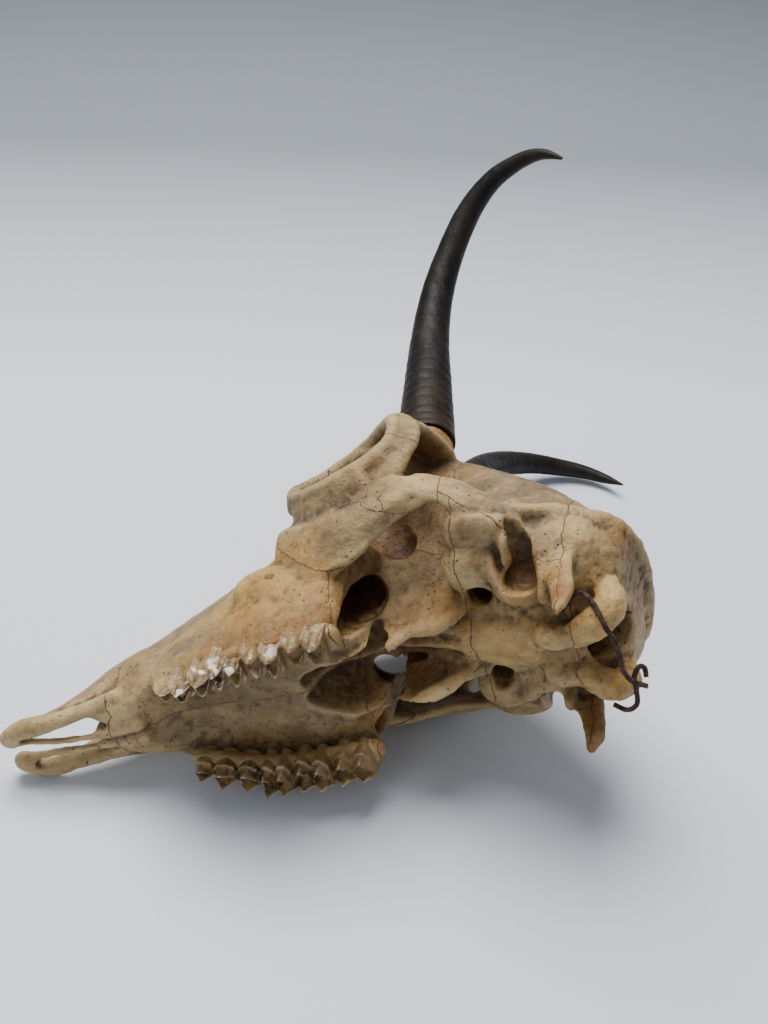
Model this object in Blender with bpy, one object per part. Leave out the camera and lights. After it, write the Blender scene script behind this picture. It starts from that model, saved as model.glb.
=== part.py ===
# Cranium of a chamois with both horns, lying on its right side, and a wire loop in the foramen magnum.
# Lengths are in millimetres in the skull's own axes until the pose: +X snout, +Y the animal's left, +Z crown.
import math

import bmesh
import bpy
import numpy as np
from mathutils import Euler, Matrix, Vector

MM = 0.001
SKULL_SCALE = 1.0            # 1.0 is a cranium of about 190 mm from condyles to snout
VOXEL = 1.25                 # grid that melts the raw shapes into bone
BULK_VOXEL = 1.9             # coarser grid of the broad forms
BONE_TRIANGLES = 6900        # triangles of all the bone before it is parted
GAP = 0.3                    # clear gap between neighbouring pieces
SPLIT_REACH = 400.0          # size of the blocks that part the bone
POSE_ROLL = 84.1             # turn about the snout axis that lays the skull on its right side
POSE_DIP = 16.6              # snout down
POSE_TURN = 166.9            # turn on the table
RING_SIDES = 14
HORN_SIDES = 14
TOOTH_SIDES = 8
TOOTH_ROOT = 3.5             # how deep a crown starts inside the jaw
RIGHT_CROWNS = 1.3           # crown height of the right row over that of the left
WIRE_RADIUS = 0.75
WIRE_SIDES = 6

# Half sections of the face and of the braincase: x, then (y, z) from the top midline to the bottom midline
FACE_SECTIONS = (
    (157, ((0, 19), (5, 18), (9, 12), (10.5, 2), (9.5, -6), (6, -8), (0, -8))),
    (145, ((0, 27), (6.5, 26), (11, 20), (13, 8), (12, -4), (7, -6), (0, -5))),
    (132, ((0, 37), (7.5, 36), (13, 31), (17, 16), (18.5, -1), (13, 1), (0, 3))),
    (118, ((0, 49), (9, 48), (16.5, 40), (23, 22), (23, -1), (17, 3), (0, 5.5))),
    (104, ((0, 61), (11, 60), (19, 52), (28, 27), (28.5, 1.5), (20, 5), (0, 7))),
    (92, ((0, 72), (14, 71), (24, 62), (31, 32), (30, 3.5), (21, 7), (0, 9))),
    (81, ((0, 82), (20, 81), (30, 70), (33, 38), (28.5, 7), (20, 9.5), (0, 11))),
    (73, ((0, 87), (21, 86), (31, 74), (30, 48), (18, 20), (13, 15), (0, 17))),
)
BRAINCASE_SECTIONS = (
    (76, ((0, 88), (20, 87), (27, 77), (18, 58), (12, 42), (7, 31), (0, 29))),
    (66, ((0, 91), (21, 89), (27, 76), (19, 58), (13, 42), (8, 31), (0, 28))),
    (54, ((0, 91), (21, 87), (26, 74), (24, 58), (17, 43), (10, 31), (0, 27))),
    (42, ((0, 88), (19, 83), (28, 70), (30, 56), (25, 42), (15, 31), (0, 25))),
    (28, ((0, 81), (18, 76), (29, 62), (32, 48), (30, 36), (18, 28), (0, 24))),
    (14, ((0, 70), (16, 66), (27, 55), (31, 43), (29, 32), (16, 26), (0, 24))),
    (4, ((0, 60), (12, 57), (23, 50), (26, 41), (22, 33), (10, 29), (0, 30))),
    (-1, ((0, 54), (10, 52), (19, 46), (20, 40), (14, 35), (6, 33), (0, 33))),
)

# Upper cheek teeth of one side: front x, rear x, cheek-side y, width, root z, crown height, lobes
TEETH = (
    (131, 125, 18.6, 5.0, -2.4, 6.4, 1),
    (125, 118, 21.2, 6.5, -2.6, 6.8, 1),
    (118, 111.3, 24.2, 8.0, -2.2, 7.2, 1),
    (111.3, 101.3, 27.4, 10.0, -1.0, 7.4, 2),
    (101.3, 89.8, 29.0, 11.0, 1.0, 7.0, 2),
    (89.8, 77.5, 29.6, 10.5, 4.0, 6.2, 2),
)

# The wire's route over the left condyle and the foramen, and the loop that holds the right condyle
WIRE_OVER = (
    (16.7, 13.0, 24.6), (14.7, 15.5, 25.1), (12.5, 17.5, 26), (10, 18.8, 25), (7.3, 19.2, 21.6),
    (4.9, 18.4, 17), (3.2, 15.5, 14.2), (1.8, 12.5, 13.4), (1, 7, 13.1), (0.7, 1, 12.4),
    (-0.7, -4, 13.4), (-2.5, -6.5, 14.3), (-4.5, -8, 14.7),
)
WIRE_LOOP = (
    (6.2, -17.8, 17), (2.5, -18.4, 15.4), (-0.5, -16.2, 15.6), (-1, -11, 16.4), (-1, -6.5, 17),
    (-2.7, -4, 18.4), (-4, -5, 18.6), (-4.2, -7.2, 17.6),
)

# Axis of a horn from the sheath's rim to its tip, and its radius there
HORN_AXIS = (
    (66.8, 22.4, 96.5), (69.5, 27, 122), (71.6, 32.5, 146), (70.2, 40, 163), (66, 48, 176),
    (58.5, 58, 188), (49, 66, 194.5), (38, 71.2, 196), (28.5, 73.8, 193.2), (20.8, 73.4, 187.6),
)
HORN_RADIUS = (10.4, 8.8, 7.2, 6.2, 5.4, 4.7, 3.9, 3.1, 2.1, 0.5)
CORE_TOP = 0.6               # distance from the sheath's rim down to the visible top of the bone core


def clear_scene():
    for item in list(bpy.data.objects):
        bpy.data.objects.remove(item)


def smooth_rows(rows, steps):
    # Catmull-Rom curve through the rows
    rows = np.array(rows, float)
    out = []
    for i in range(len(rows) - 1):
        before, here = rows[max(i - 1, 0)], rows[i]
        there, after = rows[i + 1], rows[min(i + 2, len(rows) - 1)]
        for t in np.arange(steps) / steps:
            bend = (2 * before - 5 * here + 4 * there - after) * t * t
            bend = bend + (3 * here - before - 3 * there + after) * t ** 3
            out.append(0.5 * (2 * here + (there - before) * t + bend))
    out.append(rows[-1])
    return np.array(out)


def add_rings(bm, rings):
    rows = [[bm.verts.new(Vector(point) * MM) for point in ring] for ring in rings]
    count = len(rows[0])
    for first, second in zip(rows, rows[1:]):
        for i in range(count):
            j = (i + 1) % count
            bm.faces.new((first[i], first[j], second[j], second[i]))
    bm.faces.new(rows[0][::-1])
    bm.faces.new(rows[-1])


def add_ball(bm, centre, radii, turn=(0, 0, 0)):
    spin = Euler([math.radians(angle) for angle in turn]).to_matrix().to_4x4()
    size = Matrix.Diagonal((radii[0] * MM, radii[1] * MM, radii[2] * MM, 1))
    place = Matrix.Translation(Vector(centre) * MM)
    bmesh.ops.create_icosphere(bm, subdivisions=3, radius=1, matrix=place @ spin @ size)


def add_bar(bm, points, wide, thick=None, face=(0, 0, 1), sides=RING_SIDES, steps=5, power=2.0):
    # A bar with rounded ends through the points: half width, half thickness, and the way its flat side looks
    count = len(points)
    wide = np.broadcast_to(np.array(wide, float), (count,))
    thick = wide if thick is None else np.broadcast_to(np.array(thick, float), (count,))
    looks = np.broadcast_to(np.array(face, float), (count, 3))
    rows = smooth_rows(np.column_stack([np.array(points, float), wide, thick, looks]), steps)
    along = np.gradient(rows[:, :3], axis=0)
    along /= np.linalg.norm(along, axis=1)[:, None]
    up = rows[:, 5:8] - along * (rows[:, 5:8] * along).sum(1)[:, None]
    up /= np.linalg.norm(up, axis=1)[:, None]
    side = np.cross(up, along)
    angles = np.arange(sides) * 2 * math.pi / sides
    across = np.sign(np.cos(angles)) * np.abs(np.cos(angles)) ** (2 / power)
    over = np.sign(np.sin(angles)) * np.abs(np.sin(angles)) ** (2 / power)

    def ring(i, size, shift):
        middle = rows[i, :3] + along[i] * shift
        return middle + size * (np.outer(across, side[i] * rows[i, 3]) + np.outer(over, up[i] * rows[i, 4]))

    ends = (0.15, 0.6, 0.9)
    start, stop = min(rows[0, 3:5]), min(rows[-1, 3:5])
    rings = [ring(0, size, -start * math.sqrt(1 - size * size)) for size in ends]
    rings += [ring(i, 1, 0) for i in range(len(rows))]
    rings += [ring(-1, size, stop * math.sqrt(1 - size * size)) for size in reversed(ends)]
    add_rings(bm, rings)


def add_sections(bm, sections, steps=5, around=4):
    # A closed body through half sections that are mirrored to the right side
    loops = []
    for x, half in sections:
        whole = [(x, y, z) for y, z in half] + [(x, -y, z) for y, z in half[-2:0:-1]]
        closed = smooth_rows([whole[-1]] + whole + [whole[0], whole[1]], around)
        loops.append(closed[around:around * (len(whole) + 1)])
    flat = np.array(loops).reshape(len(loops), -1)
    add_rings(bm, smooth_rows(flat, steps).reshape(-1, len(loops[0]), 3))


def mirrored(points, side):
    return [(x, y * side, z) for x, y, z in points]


def as_object(bm, name):
    bmesh.ops.recalc_face_normals(bm, faces=bm.faces)
    mesh = bpy.data.meshes.new(name)
    bm.to_mesh(mesh)
    bm.free()
    item = bpy.data.objects.new(name, mesh)
    bpy.context.scene.collection.objects.link(item)
    return item


def apply_modifiers(item):
    graph = bpy.context.evaluated_depsgraph_get()
    mesh = bpy.data.meshes.new_from_object(item.evaluated_get(graph))
    item.modifiers.clear()
    item.data = mesh


def melt(item, voxel, rounds):
    # Fuse overlapping shapes on a grid and soften the joins
    remesh = item.modifiers.new("melt", "REMESH")
    remesh.mode = "VOXEL"
    remesh.voxel_size = voxel * MM
    soften = item.modifiers.new("soften", "SMOOTH")
    soften.iterations = rounds
    apply_modifiers(item)


def combine(item, tool, operation, solver="EXACT"):
    change = item.modifiers.new("change", "BOOLEAN")
    change.operation = operation
    change.solver = solver
    change.object = tool
    apply_modifiers(item)


def remove(item):
    bpy.data.objects.remove(item)


def mend(bm):
    # Open up each edge where the surface touches itself, and close the small holes that this leaves
    for _ in range(4):
        bad = [edge for edge in bm.edges if len(edge.link_faces) != 2]
        if not bad:
            return
        verts = {vert for edge in bad for vert in edge.verts}
        bmesh.ops.delete(bm, geom=list(verts), context="VERTS")
        loose = [vert for vert in bm.verts if not vert.link_faces]
        bmesh.ops.delete(bm, geom=loose, context="VERTS")
        rim = [edge for edge in bm.edges if len(edge.link_faces) == 1]
        made = bmesh.ops.holes_fill(bm, edges=rim, sides=0)
        bmesh.ops.triangulate(bm, faces=made["faces"])


def keep_largest(item):
    # Only the largest closed surface stays
    bm = bmesh.new()
    bm.from_mesh(item.data)
    bmesh.ops.triangulate(bm, faces=bm.faces)
    mend(bm)
    left = set(bm.verts)
    groups = []
    while left:
        seed = left.pop()
        group = {seed}
        front = [seed]
        while front:
            vert = front.pop()
            for edge in vert.link_edges:
                other = edge.other_vert(vert)
                if other in left:
                    left.discard(other)
                    group.add(other)
                    front.append(other)
        groups.append(group)
    groups.sort(key=len, reverse=True)
    spare = [vert for group in groups[1:] for vert in group]
    bmesh.ops.delete(bm, geom=spare, context="VERTS")
    bm.to_mesh(item.data)
    bm.free()


def broad_forms():
    bm = bmesh.new()
    add_sections(bm, FACE_SECTIONS)
    add_sections(bm, BRAINCASE_SECTIONS)
    for side in (1, -1):
        # Horn pedicle, roof over the orbit, swelling above the teeth, mastoid corner
        add_bar(bm, mirrored([(66, 12, 82), (67, 19, 90), (67.5, 22.5, 96)], side), (12, 11, 10))
        add_ball(bm, (77, side * 26, 79), (14, 12, 7), (side * -20, -12, 0))
        add_ball(bm, (98, side * 28, 24), (14, 6, 8))
        add_ball(bm, (13, side * 27, 39), (8, 6, 9))
    # Plate of the occiput
    add_bar(bm, [(3, -22, 43), (1, 0, 45), (3, 22, 43)], (8, 9, 8), (4, 4, 4), (1, 0, 0.2))
    return as_object(bm, "broad_forms")


def add_orbit(bm, side):
    rim = [(97, 38, 54), (99.5, 33.5, 62), (96, 30, 71), (88, 31, 77.5), (79, 36, 80.5), (71, 43.5, 78),
           (65.5, 50, 71), (64.5, 50, 61), (70, 49, 53.5), (81, 45.5, 49.5), (91, 40.5, 51), (97, 37, 54)]
    add_bar(bm, mirrored(rim, side), 2.4)
    wall = [(96, 33, 53), (98, 29, 60), (96, 26, 68), (90, 26, 75)]
    add_bar(bm, mirrored(wall, side), 5, 3, (-0.6, side, 0))
    bar = [(64.5, 44.5, 49), (62.5, 46.5, 55), (60.5, 48, 62), (61, 48.5, 69), (65, 48.5, 75)]
    add_bar(bm, mirrored(bar, side), (5, 4.2, 4.2, 4.2, 3.4), (2.4, 2.3, 2.2, 2.1, 2), (-0.35, side, 0.1))
    top = [(64, 48.5, 70), (62.5, 44, 75.5), (62, 36, 81), (62, 26, 85)]
    add_bar(bm, mirrored(top, side), (4.6, 5.4, 7, 9), (2.2, 2.6, 3, 4), (-0.2, side * 0.7, 0.8))


def add_cheekbone(bm, side):
    body = [(98, 28.5, 39), (91, 32.5, 40), (80, 38, 41), (69, 43, 44.5), (58, 45.5, 44), (48, 44, 42.5)]
    add_bar(bm, mirrored(body, side), (8, 8, 8, 6.5, 3.8, 2.2), (3, 3, 2.8, 2.4, 2.2, 1.8), (0.1, side, -0.3),
            power=2.5)
    ledge = [(95, 35.5, 50.5), (84, 41, 47.5), (72, 47, 49.5)]
    add_bar(bm, mirrored(ledge, side), 4.5, 2.6, (0, side, -0.5))
    edge = [(110, 25, 22), (97, 28.5, 24.5), (86, 31, 25), (75, 34, 27), (67, 37.5, 33.5), (60, 40.5, 38.5),
            (52, 43, 41)]
    add_bar(bm, mirrored(edge, side), (2, 2.3, 2.1, 1.9, 1.8, 1.8, 1.8))
    sheet = [(98, 30, 34), (84, 35, 33.5), (70, 40.5, 38), (59, 44, 41.5)]
    add_bar(bm, mirrored(sheet, side), (10, 9, 5.5, 2.6), 2.6, (0.1, side, -0.45), power=3)


def add_temple(bm, side):
    arm = [(31, 32, 38), (36, 37.5, 40.5), (45, 43, 43), (56, 45.5, 46.5)]
    add_bar(bm, mirrored(arm, side), (6, 6, 5.5, 4), (3.6, 3, 2.4, 1.8), (-0.45, side, -0.2))
    socket = [(29, 30, 37.5), (36, 33, 35), (44, 34, 35.5)]
    add_bar(bm, mirrored(socket, side), (7, 8.5, 7), 3.6)
    add_ball(bm, (41, side * 24, 33), (9, 9, 7))
    add_bar(bm, mirrored([(30, 27, 31), (30, 34, 32.5)], side), (4, 3), 1.5, (1, 0, 0))
    crest = [(36, 37, 43.5), (26, 35, 43), (17, 32, 45), (6, 27, 46), (0, 20, 48), (-2.5, 9, 50), (-3, 0, 51)]
    add_bar(bm, mirrored(crest, side), (2.2, 2.2, 2.4, 2.6, 2.8, 3, 3))


def add_palate_plates(bm, side):
    # The plates beside the passage behind the palate; the rear of the left one is broken away
    front = [(86, 11, 14), (79, 10.5, 17), (72, 10, 19)]
    add_bar(bm, mirrored(front, side), (6, 8, 8), (1.8, 1.5, 1.4), (0, side, 0), power=3)
    if side < 0:
        rear = [(74, 10, 20), (66, 9.5, 21), (58.5, 8.8, 20.5), (52, 8.4, 27), (45, 8, 33.5)]
        add_bar(bm, mirrored(rear, side), (6.5, 8.5, 9.5, 7.5, 4.5), 1.4, (0, side, 0), power=3)
    ridge = [(66, 9.5, 15), (61, 10, 21.5), (53.5, 10.5, 22.5), (48, 12, 26), (44, 14, 29.5)]
    add_bar(bm, mirrored(ridge, side), (1.6, 2.2, 2.4, 2.4, 2.4))
    wall = [(80, 13, 26), (70, 14, 36), (60, 15, 42), (50, 16, 42)]
    add_bar(bm, mirrored(wall, side), (5, 12, 15, 13), (1.6, 1.8, 2.4, 3), (0.2, side, -0.3), power=3)


def add_skull_base(bm, side):
    condyle = [(13, 7.5, 20.5), (7.5, 12, 19.5), (2.5, 15.5, 23.5), (4, 15.5, 30)]
    add_bar(bm, mirrored(condyle, side), (4, 4.8, 4.8, 4), (4, 4.4, 4.4, 4))
    process = [(17, 26.5, 37), (15, 27.5, 26), (13, 28, 15), (14, 28.2, 8.5)]
    add_bar(bm, mirrored(process, side), (5.5, 4.6, 3.6, 1.5), (2.4, 2, 1.8, 1.3), (0.3, side, 0))
    add_ball(bm, (27, side * 19, 30), (9, 6.5, 6.5))
    add_bar(bm, mirrored([(35, 28, 33), (33.5, 23, 28), (30, 19, 24)], side), (4, 4, 3), 1.6, (1, 0, 0))
    add_bar(bm, mirrored([(21, 24, 34), (20, 23.5, 26), (20, 21, 21)], side), (4.5, 4.5, 3), 1.7, (1, 0, 0))
    add_ball(bm, (18.5, side * 7.5, 20), (6.5, 3.6, 4.4))


def add_premaxilla(bm, side):
    body = [(184, 4.6, -11.5), (177, 8.2, -11), (168, 9, -8.5), (158, 9.6, -5), (148, 11.5, -1)]
    add_bar(bm, mirrored(body, side), (3.6, 4.2, 3, 2.5, 2.8), (2.8, 3, 2.6, 2.3, 2.4))
    rise = [(171, 8.8, -7), (162, 9.6, -1), (152, 11, 8), (143, 11.8, 16)]
    add_bar(bm, mirrored(rise, side), (2.4, 3.6, 5, 4), 1.4, (0, side, 0.15))
    middle = [(180, 3.4, -11), (168, 2.2, -10), (152, 2.2, -7.5), (142, 3, -4.5)]
    add_bar(bm, mirrored(middle, side), (1.7, 1.4, 1.5, 2.5), (1.5, 1.4, 1.4, 1.6))


def fine_forms():
    bm = bmesh.new()
    for side in (1, -1):
        add_orbit(bm, side)
        add_cheekbone(bm, side)
        add_temple(bm, side)
        add_palate_plates(bm, side)
        add_skull_base(bm, side)
        add_premaxilla(bm, side)
    base = [(72, 0, 30), (56, 0, 29), (44, 0, 27.5), (30, 0, 25), (18, 0, 24), (12, 0, 25)]
    add_bar(bm, base, (5, 6.5, 8, 9.5, 10, 9), (3, 4, 4.5, 4.5, 4.5, 3.5))
    vomer = [(100, 0, 12), (86, 0, 15), (72, 0, 22), (62, 0, 26)]
    add_bar(bm, vomer, (3, 4, 4, 3), 1.4, (0, 1, 0))
    return as_object(bm, "fine_forms")


def hollows():
    bm = bmesh.new()
    for side in (1, -1):
        # Orbit, space behind the upper jaw, oval foramen
        orbit = [(88, 58, 71), (83, 41.5, 64.5), (76, 29, 58), (68, 19, 51)]
        add_bar(bm, mirrored(orbit, side), (14, 13.6, 12, 6))
        space = [(66, 33, 60), (65, 28, 46), (68, 25, 30), (70, 22, 15)]
        add_bar(bm, mirrored(space, side), (9, 11, 10, 7), (10, 9, 8.5, 7))
        chamber = [(74, 20.5, 15), (75.5, 17.5, 25), (79, 14.5, 35), (86, 14, 44)]
        add_bar(bm, mirrored(chamber, side), (6.5, 8, 9, 6), (4, 5, 6, 5), (0, 1, 0.4))
        sinus = [(82, 17.5, 34), (94, 18.5, 30), (104, 17, 27), (112, 14, 25)]
        add_bar(bm, mirrored(sinus, side), (9, 10, 9, 6), (5, 4.8, 4.2, 3), (0, 1, 0))
        add_bar(bm, mirrored([(40, 18, 22), (40, 16.5, 30), (39.5, 15, 37)], side), 3.4, 4.4)
        # Ear passage and the open ear chamber
        add_bar(bm, mirrored([(27, 36, 36), (26, 25, 33)], side), 3.4)
        add_bar(bm, mirrored([(26.5, 24.5, 22), (26.5, 22, 31)], side), 4, 5, (1, 0, 0))
        # Passage behind the palate, nose passage
        choana = [(88, 4, 6), (80, 5.5, 14), (70, 5.5, 20), (60, 4.8, 22), (50, 4, 23)]
        add_bar(bm, mirrored(choana, side), (4.2, 5.6, 5.6, 4.8, 3.5), (8, 13, 13, 8, 3))
        nose = [(175, 4.2, 7), (158, 4.2, 6.5), (140, 6, 15), (118, 8.5, 27), (98, 9.5, 39)]
        add_bar(bm, mirrored(nose, side), (5, 3.8, 5.5, 7.5, 8.5), (13, 9, 12, 15.5, 18))
    # Broken hole in the right plate
    add_bar(bm, [(70, -3, 18), (73, -10, 26), (79, -20, 40), (85, -33, 52)], (3, 3, 4, 5), (5, 5, 6, 7),
            (0.8, 0.6, 0))
    # Foramen magnum and the brain cavity behind it
    add_bar(bm, [(-14, 0, 24), (0, 0, 26), (10, 0, 31), (26, 0, 38)], (9, 9.5, 9, 8), (9, 9, 8, 8))
    add_ball(bm, (34, 0, 56), (24.5, 26, 21), (0, -35, 0))
    return as_object(bm, "hollows")


def whole_bone():
    bone = broad_forms()
    melt(bone, BULK_VOXEL, 12)
    details = fine_forms()
    bm = bmesh.new()
    for piece in (bone, details):
        bm.from_mesh(piece.data)
        remove(piece)
    bone = as_object(bm, "bone")
    melt(bone, VOXEL, 5)
    cutter = hollows()
    melt(cutter, VOXEL, 5)
    combine(bone, cutter, "DIFFERENCE", "MANIFOLD")
    remove(cutter)
    melt(bone, VOXEL, 3)
    thin = bone.modifiers.new("thin", "DECIMATE")
    thin.ratio = BONE_TRIANGLES / (2 * len(bone.data.polygons))
    apply_modifiers(bone)
    keep_largest(bone)
    return bone


def block(point, normal, shift):
    # A block that fills the half space on the normal's side of a plane
    normal = Vector(normal).normalized()
    bm = bmesh.new()
    centre = Vector(point) + normal * (SPLIT_REACH / 2 + shift)
    place = Matrix.Translation(centre * MM) @ normal.to_track_quat("Z", "Y").to_matrix().to_4x4()
    bmesh.ops.create_cube(bm, size=SPLIT_REACH * MM, matrix=place)
    return as_object(bm, "block")


def split(bone, point, normal):
    # Two objects with a thin gap between them: ahead of the plane, and behind it
    halves = []
    for sign in (1, -1):
        half = bone.copy()
        half.data = bone.data.copy()
        bpy.context.scene.collection.objects.link(half)
        tool = block(point, Vector(normal) * sign, GAP / 2)
        combine(half, tool, "INTERSECT")
        remove(tool)
        halves.append(half)
    remove(bone)
    return halves


def trim(item, point, normal):
    # Take away what lies ahead of a plane
    tool = block(point, normal, 0)
    combine(item, tool, "DIFFERENCE")
    remove(tool)


def carve_box(bone, low, high):
    # Take the bone inside a box out as an object of its own, with a gap around it
    taken = bone.copy()
    taken.data = bone.data.copy()
    bpy.context.scene.collection.objects.link(taken)
    for item, grow, operation in ((taken, 0, "INTERSECT"), (bone, GAP, "DIFFERENCE")):
        bm = bmesh.new()
        size = [(b - a + 2 * grow) * MM for a, b in zip(low, high)]
        middle = [(a + b) / 2 * MM for a, b in zip(low, high)]
        place = Matrix.Translation(middle) @ Matrix.Diagonal((*size, 1))
        bmesh.ops.create_cube(bm, size=1, matrix=place)
        tool = as_object(bm, "box")
        combine(item, tool, operation)
        remove(tool)
    return taken


def part_bone(bone):
    pieces = {}
    front, rest = split(bone, (150, 0, 0), (1, 0, 0))
    pieces["premaxilla_left"], pieces["premaxilla_right"] = split(front, (0, 0, 0), (0, 1, 0))
    for name, side in (("left", 1), ("right", -1)):
        low, high = sorted((33.5 * side, 70 * side))
        pieces["cheekbone_" + name] = carve_box(rest, (47.5, low, 10), (99, high, 62))
    cores, rest = split(rest, (0, 0, 92.5), (0, 0, 1))
    pieces["horn_core_left"], pieces["horn_core_right"] = split(cores, (0, 0, 0), (0, 1, 0))
    for name, side in (("left", 1), ("right", -1)):
        rim, next_point = (Vector((x, y * side, z)) for x, y, z in HORN_AXIS[:2])
        way = (next_point - rim).normalized()
        trim(pieces["horn_core_" + name], rim - way * CORE_TOP, way)
    face, skull = split(rest, (76, 0, 5), (1, 0, -0.24))
    nasals, jaw = split(face, (148, 0, 16), (0.62, 0, 0.78))
    pieces["nasal_bones"] = nasals
    pieces["maxilla_left"], pieces["maxilla_right"] = split(jaw, (0, 0, 0), (0, 1, 0))
    pieces["occipital_bone"], skull = split(skull, (14, 0, 30), (-1, 0, 0))
    lower, upper = split(skull, (40, 0, 38), (0.45, 0, -1))
    pieces["frontal_bone"], pieces["parietal_bone"] = split(upper, (52, 0, 90), (1, 0, 0))
    pieces["sphenoid_bone"], pieces["temporal_base"] = split(lower, (44, 0, 30), (1, 0, 0))
    return pieces


def add_cone(bm, centre, half, rise, tip):
    # A four-ring tooth form: foot centre, half length and half width, height to the tip, size of the tip
    rings = []
    for share, size in ((0, 1), (0.55, 1.04), (0.8, 0.75), (1, tip)):
        ring = []
        for i in range(TOOTH_SIDES):
            angle = 2 * math.pi * (i + 0.5) / TOOTH_SIDES
            shift = (half[0] * size * math.cos(angle), half[1] * size * math.sin(angle), -rise * share)
            ring.append([a + b for a, b in zip(centre, shift)])
        rings.append(ring)
    add_rings(bm, rings)


def crowns(side):
    # The cheek teeth of one side: each lobe has a tall crest towards the cheek and a lower one by the tongue
    bm = bmesh.new()
    for front, rear, cheek, width, root, height, lobes in TEETH:
        length = (front - rear) / lobes
        if side < 0:
            height *= RIGHT_CROWNS
        for lobe in range(lobes):
            x = front - (lobe + 0.5) * length
            outer = (x, side * (cheek - width * 0.27), root + TOOTH_ROOT)
            inner = (x, side * (cheek - width * 0.68), root + TOOTH_ROOT)
            add_cone(bm, outer, (length * 0.54, width * 0.27), height + TOOTH_ROOT, 0.22)
            add_cone(bm, inner, (length * 0.5, width * 0.3), height * 0.88 + TOOTH_ROOT, 0.25)
    return as_object(bm, "crowns")


def add_teeth(pieces):
    for name, side in (("maxilla_left", 1), ("maxilla_right", -1)):
        teeth = crowns(side)
        change = pieces[name].modifiers.new("teeth", "BOOLEAN")
        change.operation = "UNION"
        change.use_self = True
        change.object = teeth
        apply_modifiers(pieces[name])
        remove(teeth)


def horn_sheath(side):
    bm = bmesh.new()
    rows = smooth_rows(np.column_stack([np.array(HORN_AXIS, float), HORN_RADIUS]), 3)
    along = np.gradient(rows[:, :3], axis=0)
    along /= np.linalg.norm(along, axis=1)[:, None]
    rings = []
    for row, way in zip(rows, along):
        out = np.cross(way, (1, 0, 0))
        out /= np.linalg.norm(out)
        back = np.cross(out, way)
        ring = []
        for i in range(HORN_SIDES):
            angle = 2 * math.pi * i / HORN_SIDES
            x, y, z = row[:3] + row[3] * (math.cos(angle) * back + 0.9 * math.sin(angle) * out)
            ring.append((x, y * side, z))
        rings.append(ring)
    add_rings(bm, rings)
    return as_object(bm, "sheath")


def wire(points):
    bm = bmesh.new()
    add_bar(bm, points, WIRE_RADIUS, sides=WIRE_SIDES, steps=3)
    return as_object(bm, "wire")


def material(name, colour, roughness, metallic=0.0):
    made = bpy.data.materials.new(name)
    made.use_nodes = True
    shader = made.node_tree.nodes["Principled BSDF"]
    shader.inputs["Base Color"].default_value = (*colour, 1)
    shader.inputs["Roughness"].default_value = roughness
    shader.inputs["Metallic"].default_value = metallic
    return made


def dress(pieces):
    bone = (0.58, 0.50, 0.37)
    stained = (0.46, 0.33, 0.18)
    looks = {
        "horn_sheath_left": ((0.012, 0.011, 0.010), 0.42, 0.0),
        "horn_sheath_right": ((0.012, 0.011, 0.010), 0.42, 0.0),
        "wire_over": ((0.055, 0.030, 0.022), 0.75, 0.6),
        "wire_loop": ((0.055, 0.030, 0.022), 0.75, 0.6),
        "horn_core_left": (stained, 0.7, 0.0),
        "horn_core_right": (stained, 0.7, 0.0),
        "occipital_bone": (stained, 0.65, 0.0),
    }
    for name, item in pieces.items():
        item.name = name
        item.data.name = name
        item.data.materials.clear()
        item.data.materials.append(material(name, *looks.get(name, (bone, 0.65, 0.0))))


def pose(pieces):
    # Lay the skull on its right side and set the middle of its foot on the origin
    stand = bpy.data.objects.new("pose", None)
    bpy.context.scene.collection.objects.link(stand)
    roll = Matrix.Rotation(math.radians(POSE_ROLL), 3, "X")
    dip = Matrix.Rotation(math.radians(POSE_DIP), 3, "Y")
    turn = Matrix.Rotation(math.radians(POSE_TURN), 3, "Z")
    spin = turn @ dip @ roll
    points = np.array([spin @ vert.co for item in pieces.values() for vert in item.data.vertices])
    low, high = points.min(0) * SKULL_SCALE, points.max(0) * SKULL_SCALE
    stand.rotation_euler = spin.to_euler()
    stand.scale = (SKULL_SCALE,) * 3
    stand.location = (-(low[0] + high[0]) / 2, -(low[1] + high[1]) / 2, -low[2])
    for item in pieces.values():
        item.parent = stand


def main():
    clear_scene()
    pieces = part_bone(whole_bone())
    add_teeth(pieces)
    for name, side in (("left", 1), ("right", -1)):
        pieces["horn_sheath_" + name] = horn_sheath(side)
    pieces["wire_over"] = wire(WIRE_OVER)
    pieces["wire_loop"] = wire(WIRE_LOOP)
    for item in pieces.values():
        keep_largest(item)
        item.data.shade_smooth()
        item.data.set_sharp_from_angle(angle=math.radians(40))
    dress(pieces)
    pose(pieces)


main()
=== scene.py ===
import math
import bmesh
import bpy
import numpy as np
from mathutils import Euler, Matrix, Vector, noise
from mathutils.bvhtree import BVHTree


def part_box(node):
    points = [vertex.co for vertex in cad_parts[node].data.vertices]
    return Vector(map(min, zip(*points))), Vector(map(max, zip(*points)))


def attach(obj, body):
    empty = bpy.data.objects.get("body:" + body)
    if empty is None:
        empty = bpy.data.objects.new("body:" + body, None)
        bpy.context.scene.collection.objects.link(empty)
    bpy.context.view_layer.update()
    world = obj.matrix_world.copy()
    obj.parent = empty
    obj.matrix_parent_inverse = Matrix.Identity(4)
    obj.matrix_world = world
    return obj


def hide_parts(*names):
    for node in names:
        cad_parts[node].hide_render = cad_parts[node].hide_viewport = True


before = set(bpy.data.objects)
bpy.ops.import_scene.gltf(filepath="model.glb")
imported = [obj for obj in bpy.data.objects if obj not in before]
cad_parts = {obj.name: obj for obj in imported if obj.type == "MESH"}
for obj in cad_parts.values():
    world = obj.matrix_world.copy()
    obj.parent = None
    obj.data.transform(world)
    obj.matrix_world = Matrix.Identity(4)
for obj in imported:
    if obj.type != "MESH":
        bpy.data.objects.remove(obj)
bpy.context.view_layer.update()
print("frame loaded:", len(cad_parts), "nodes")

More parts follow.
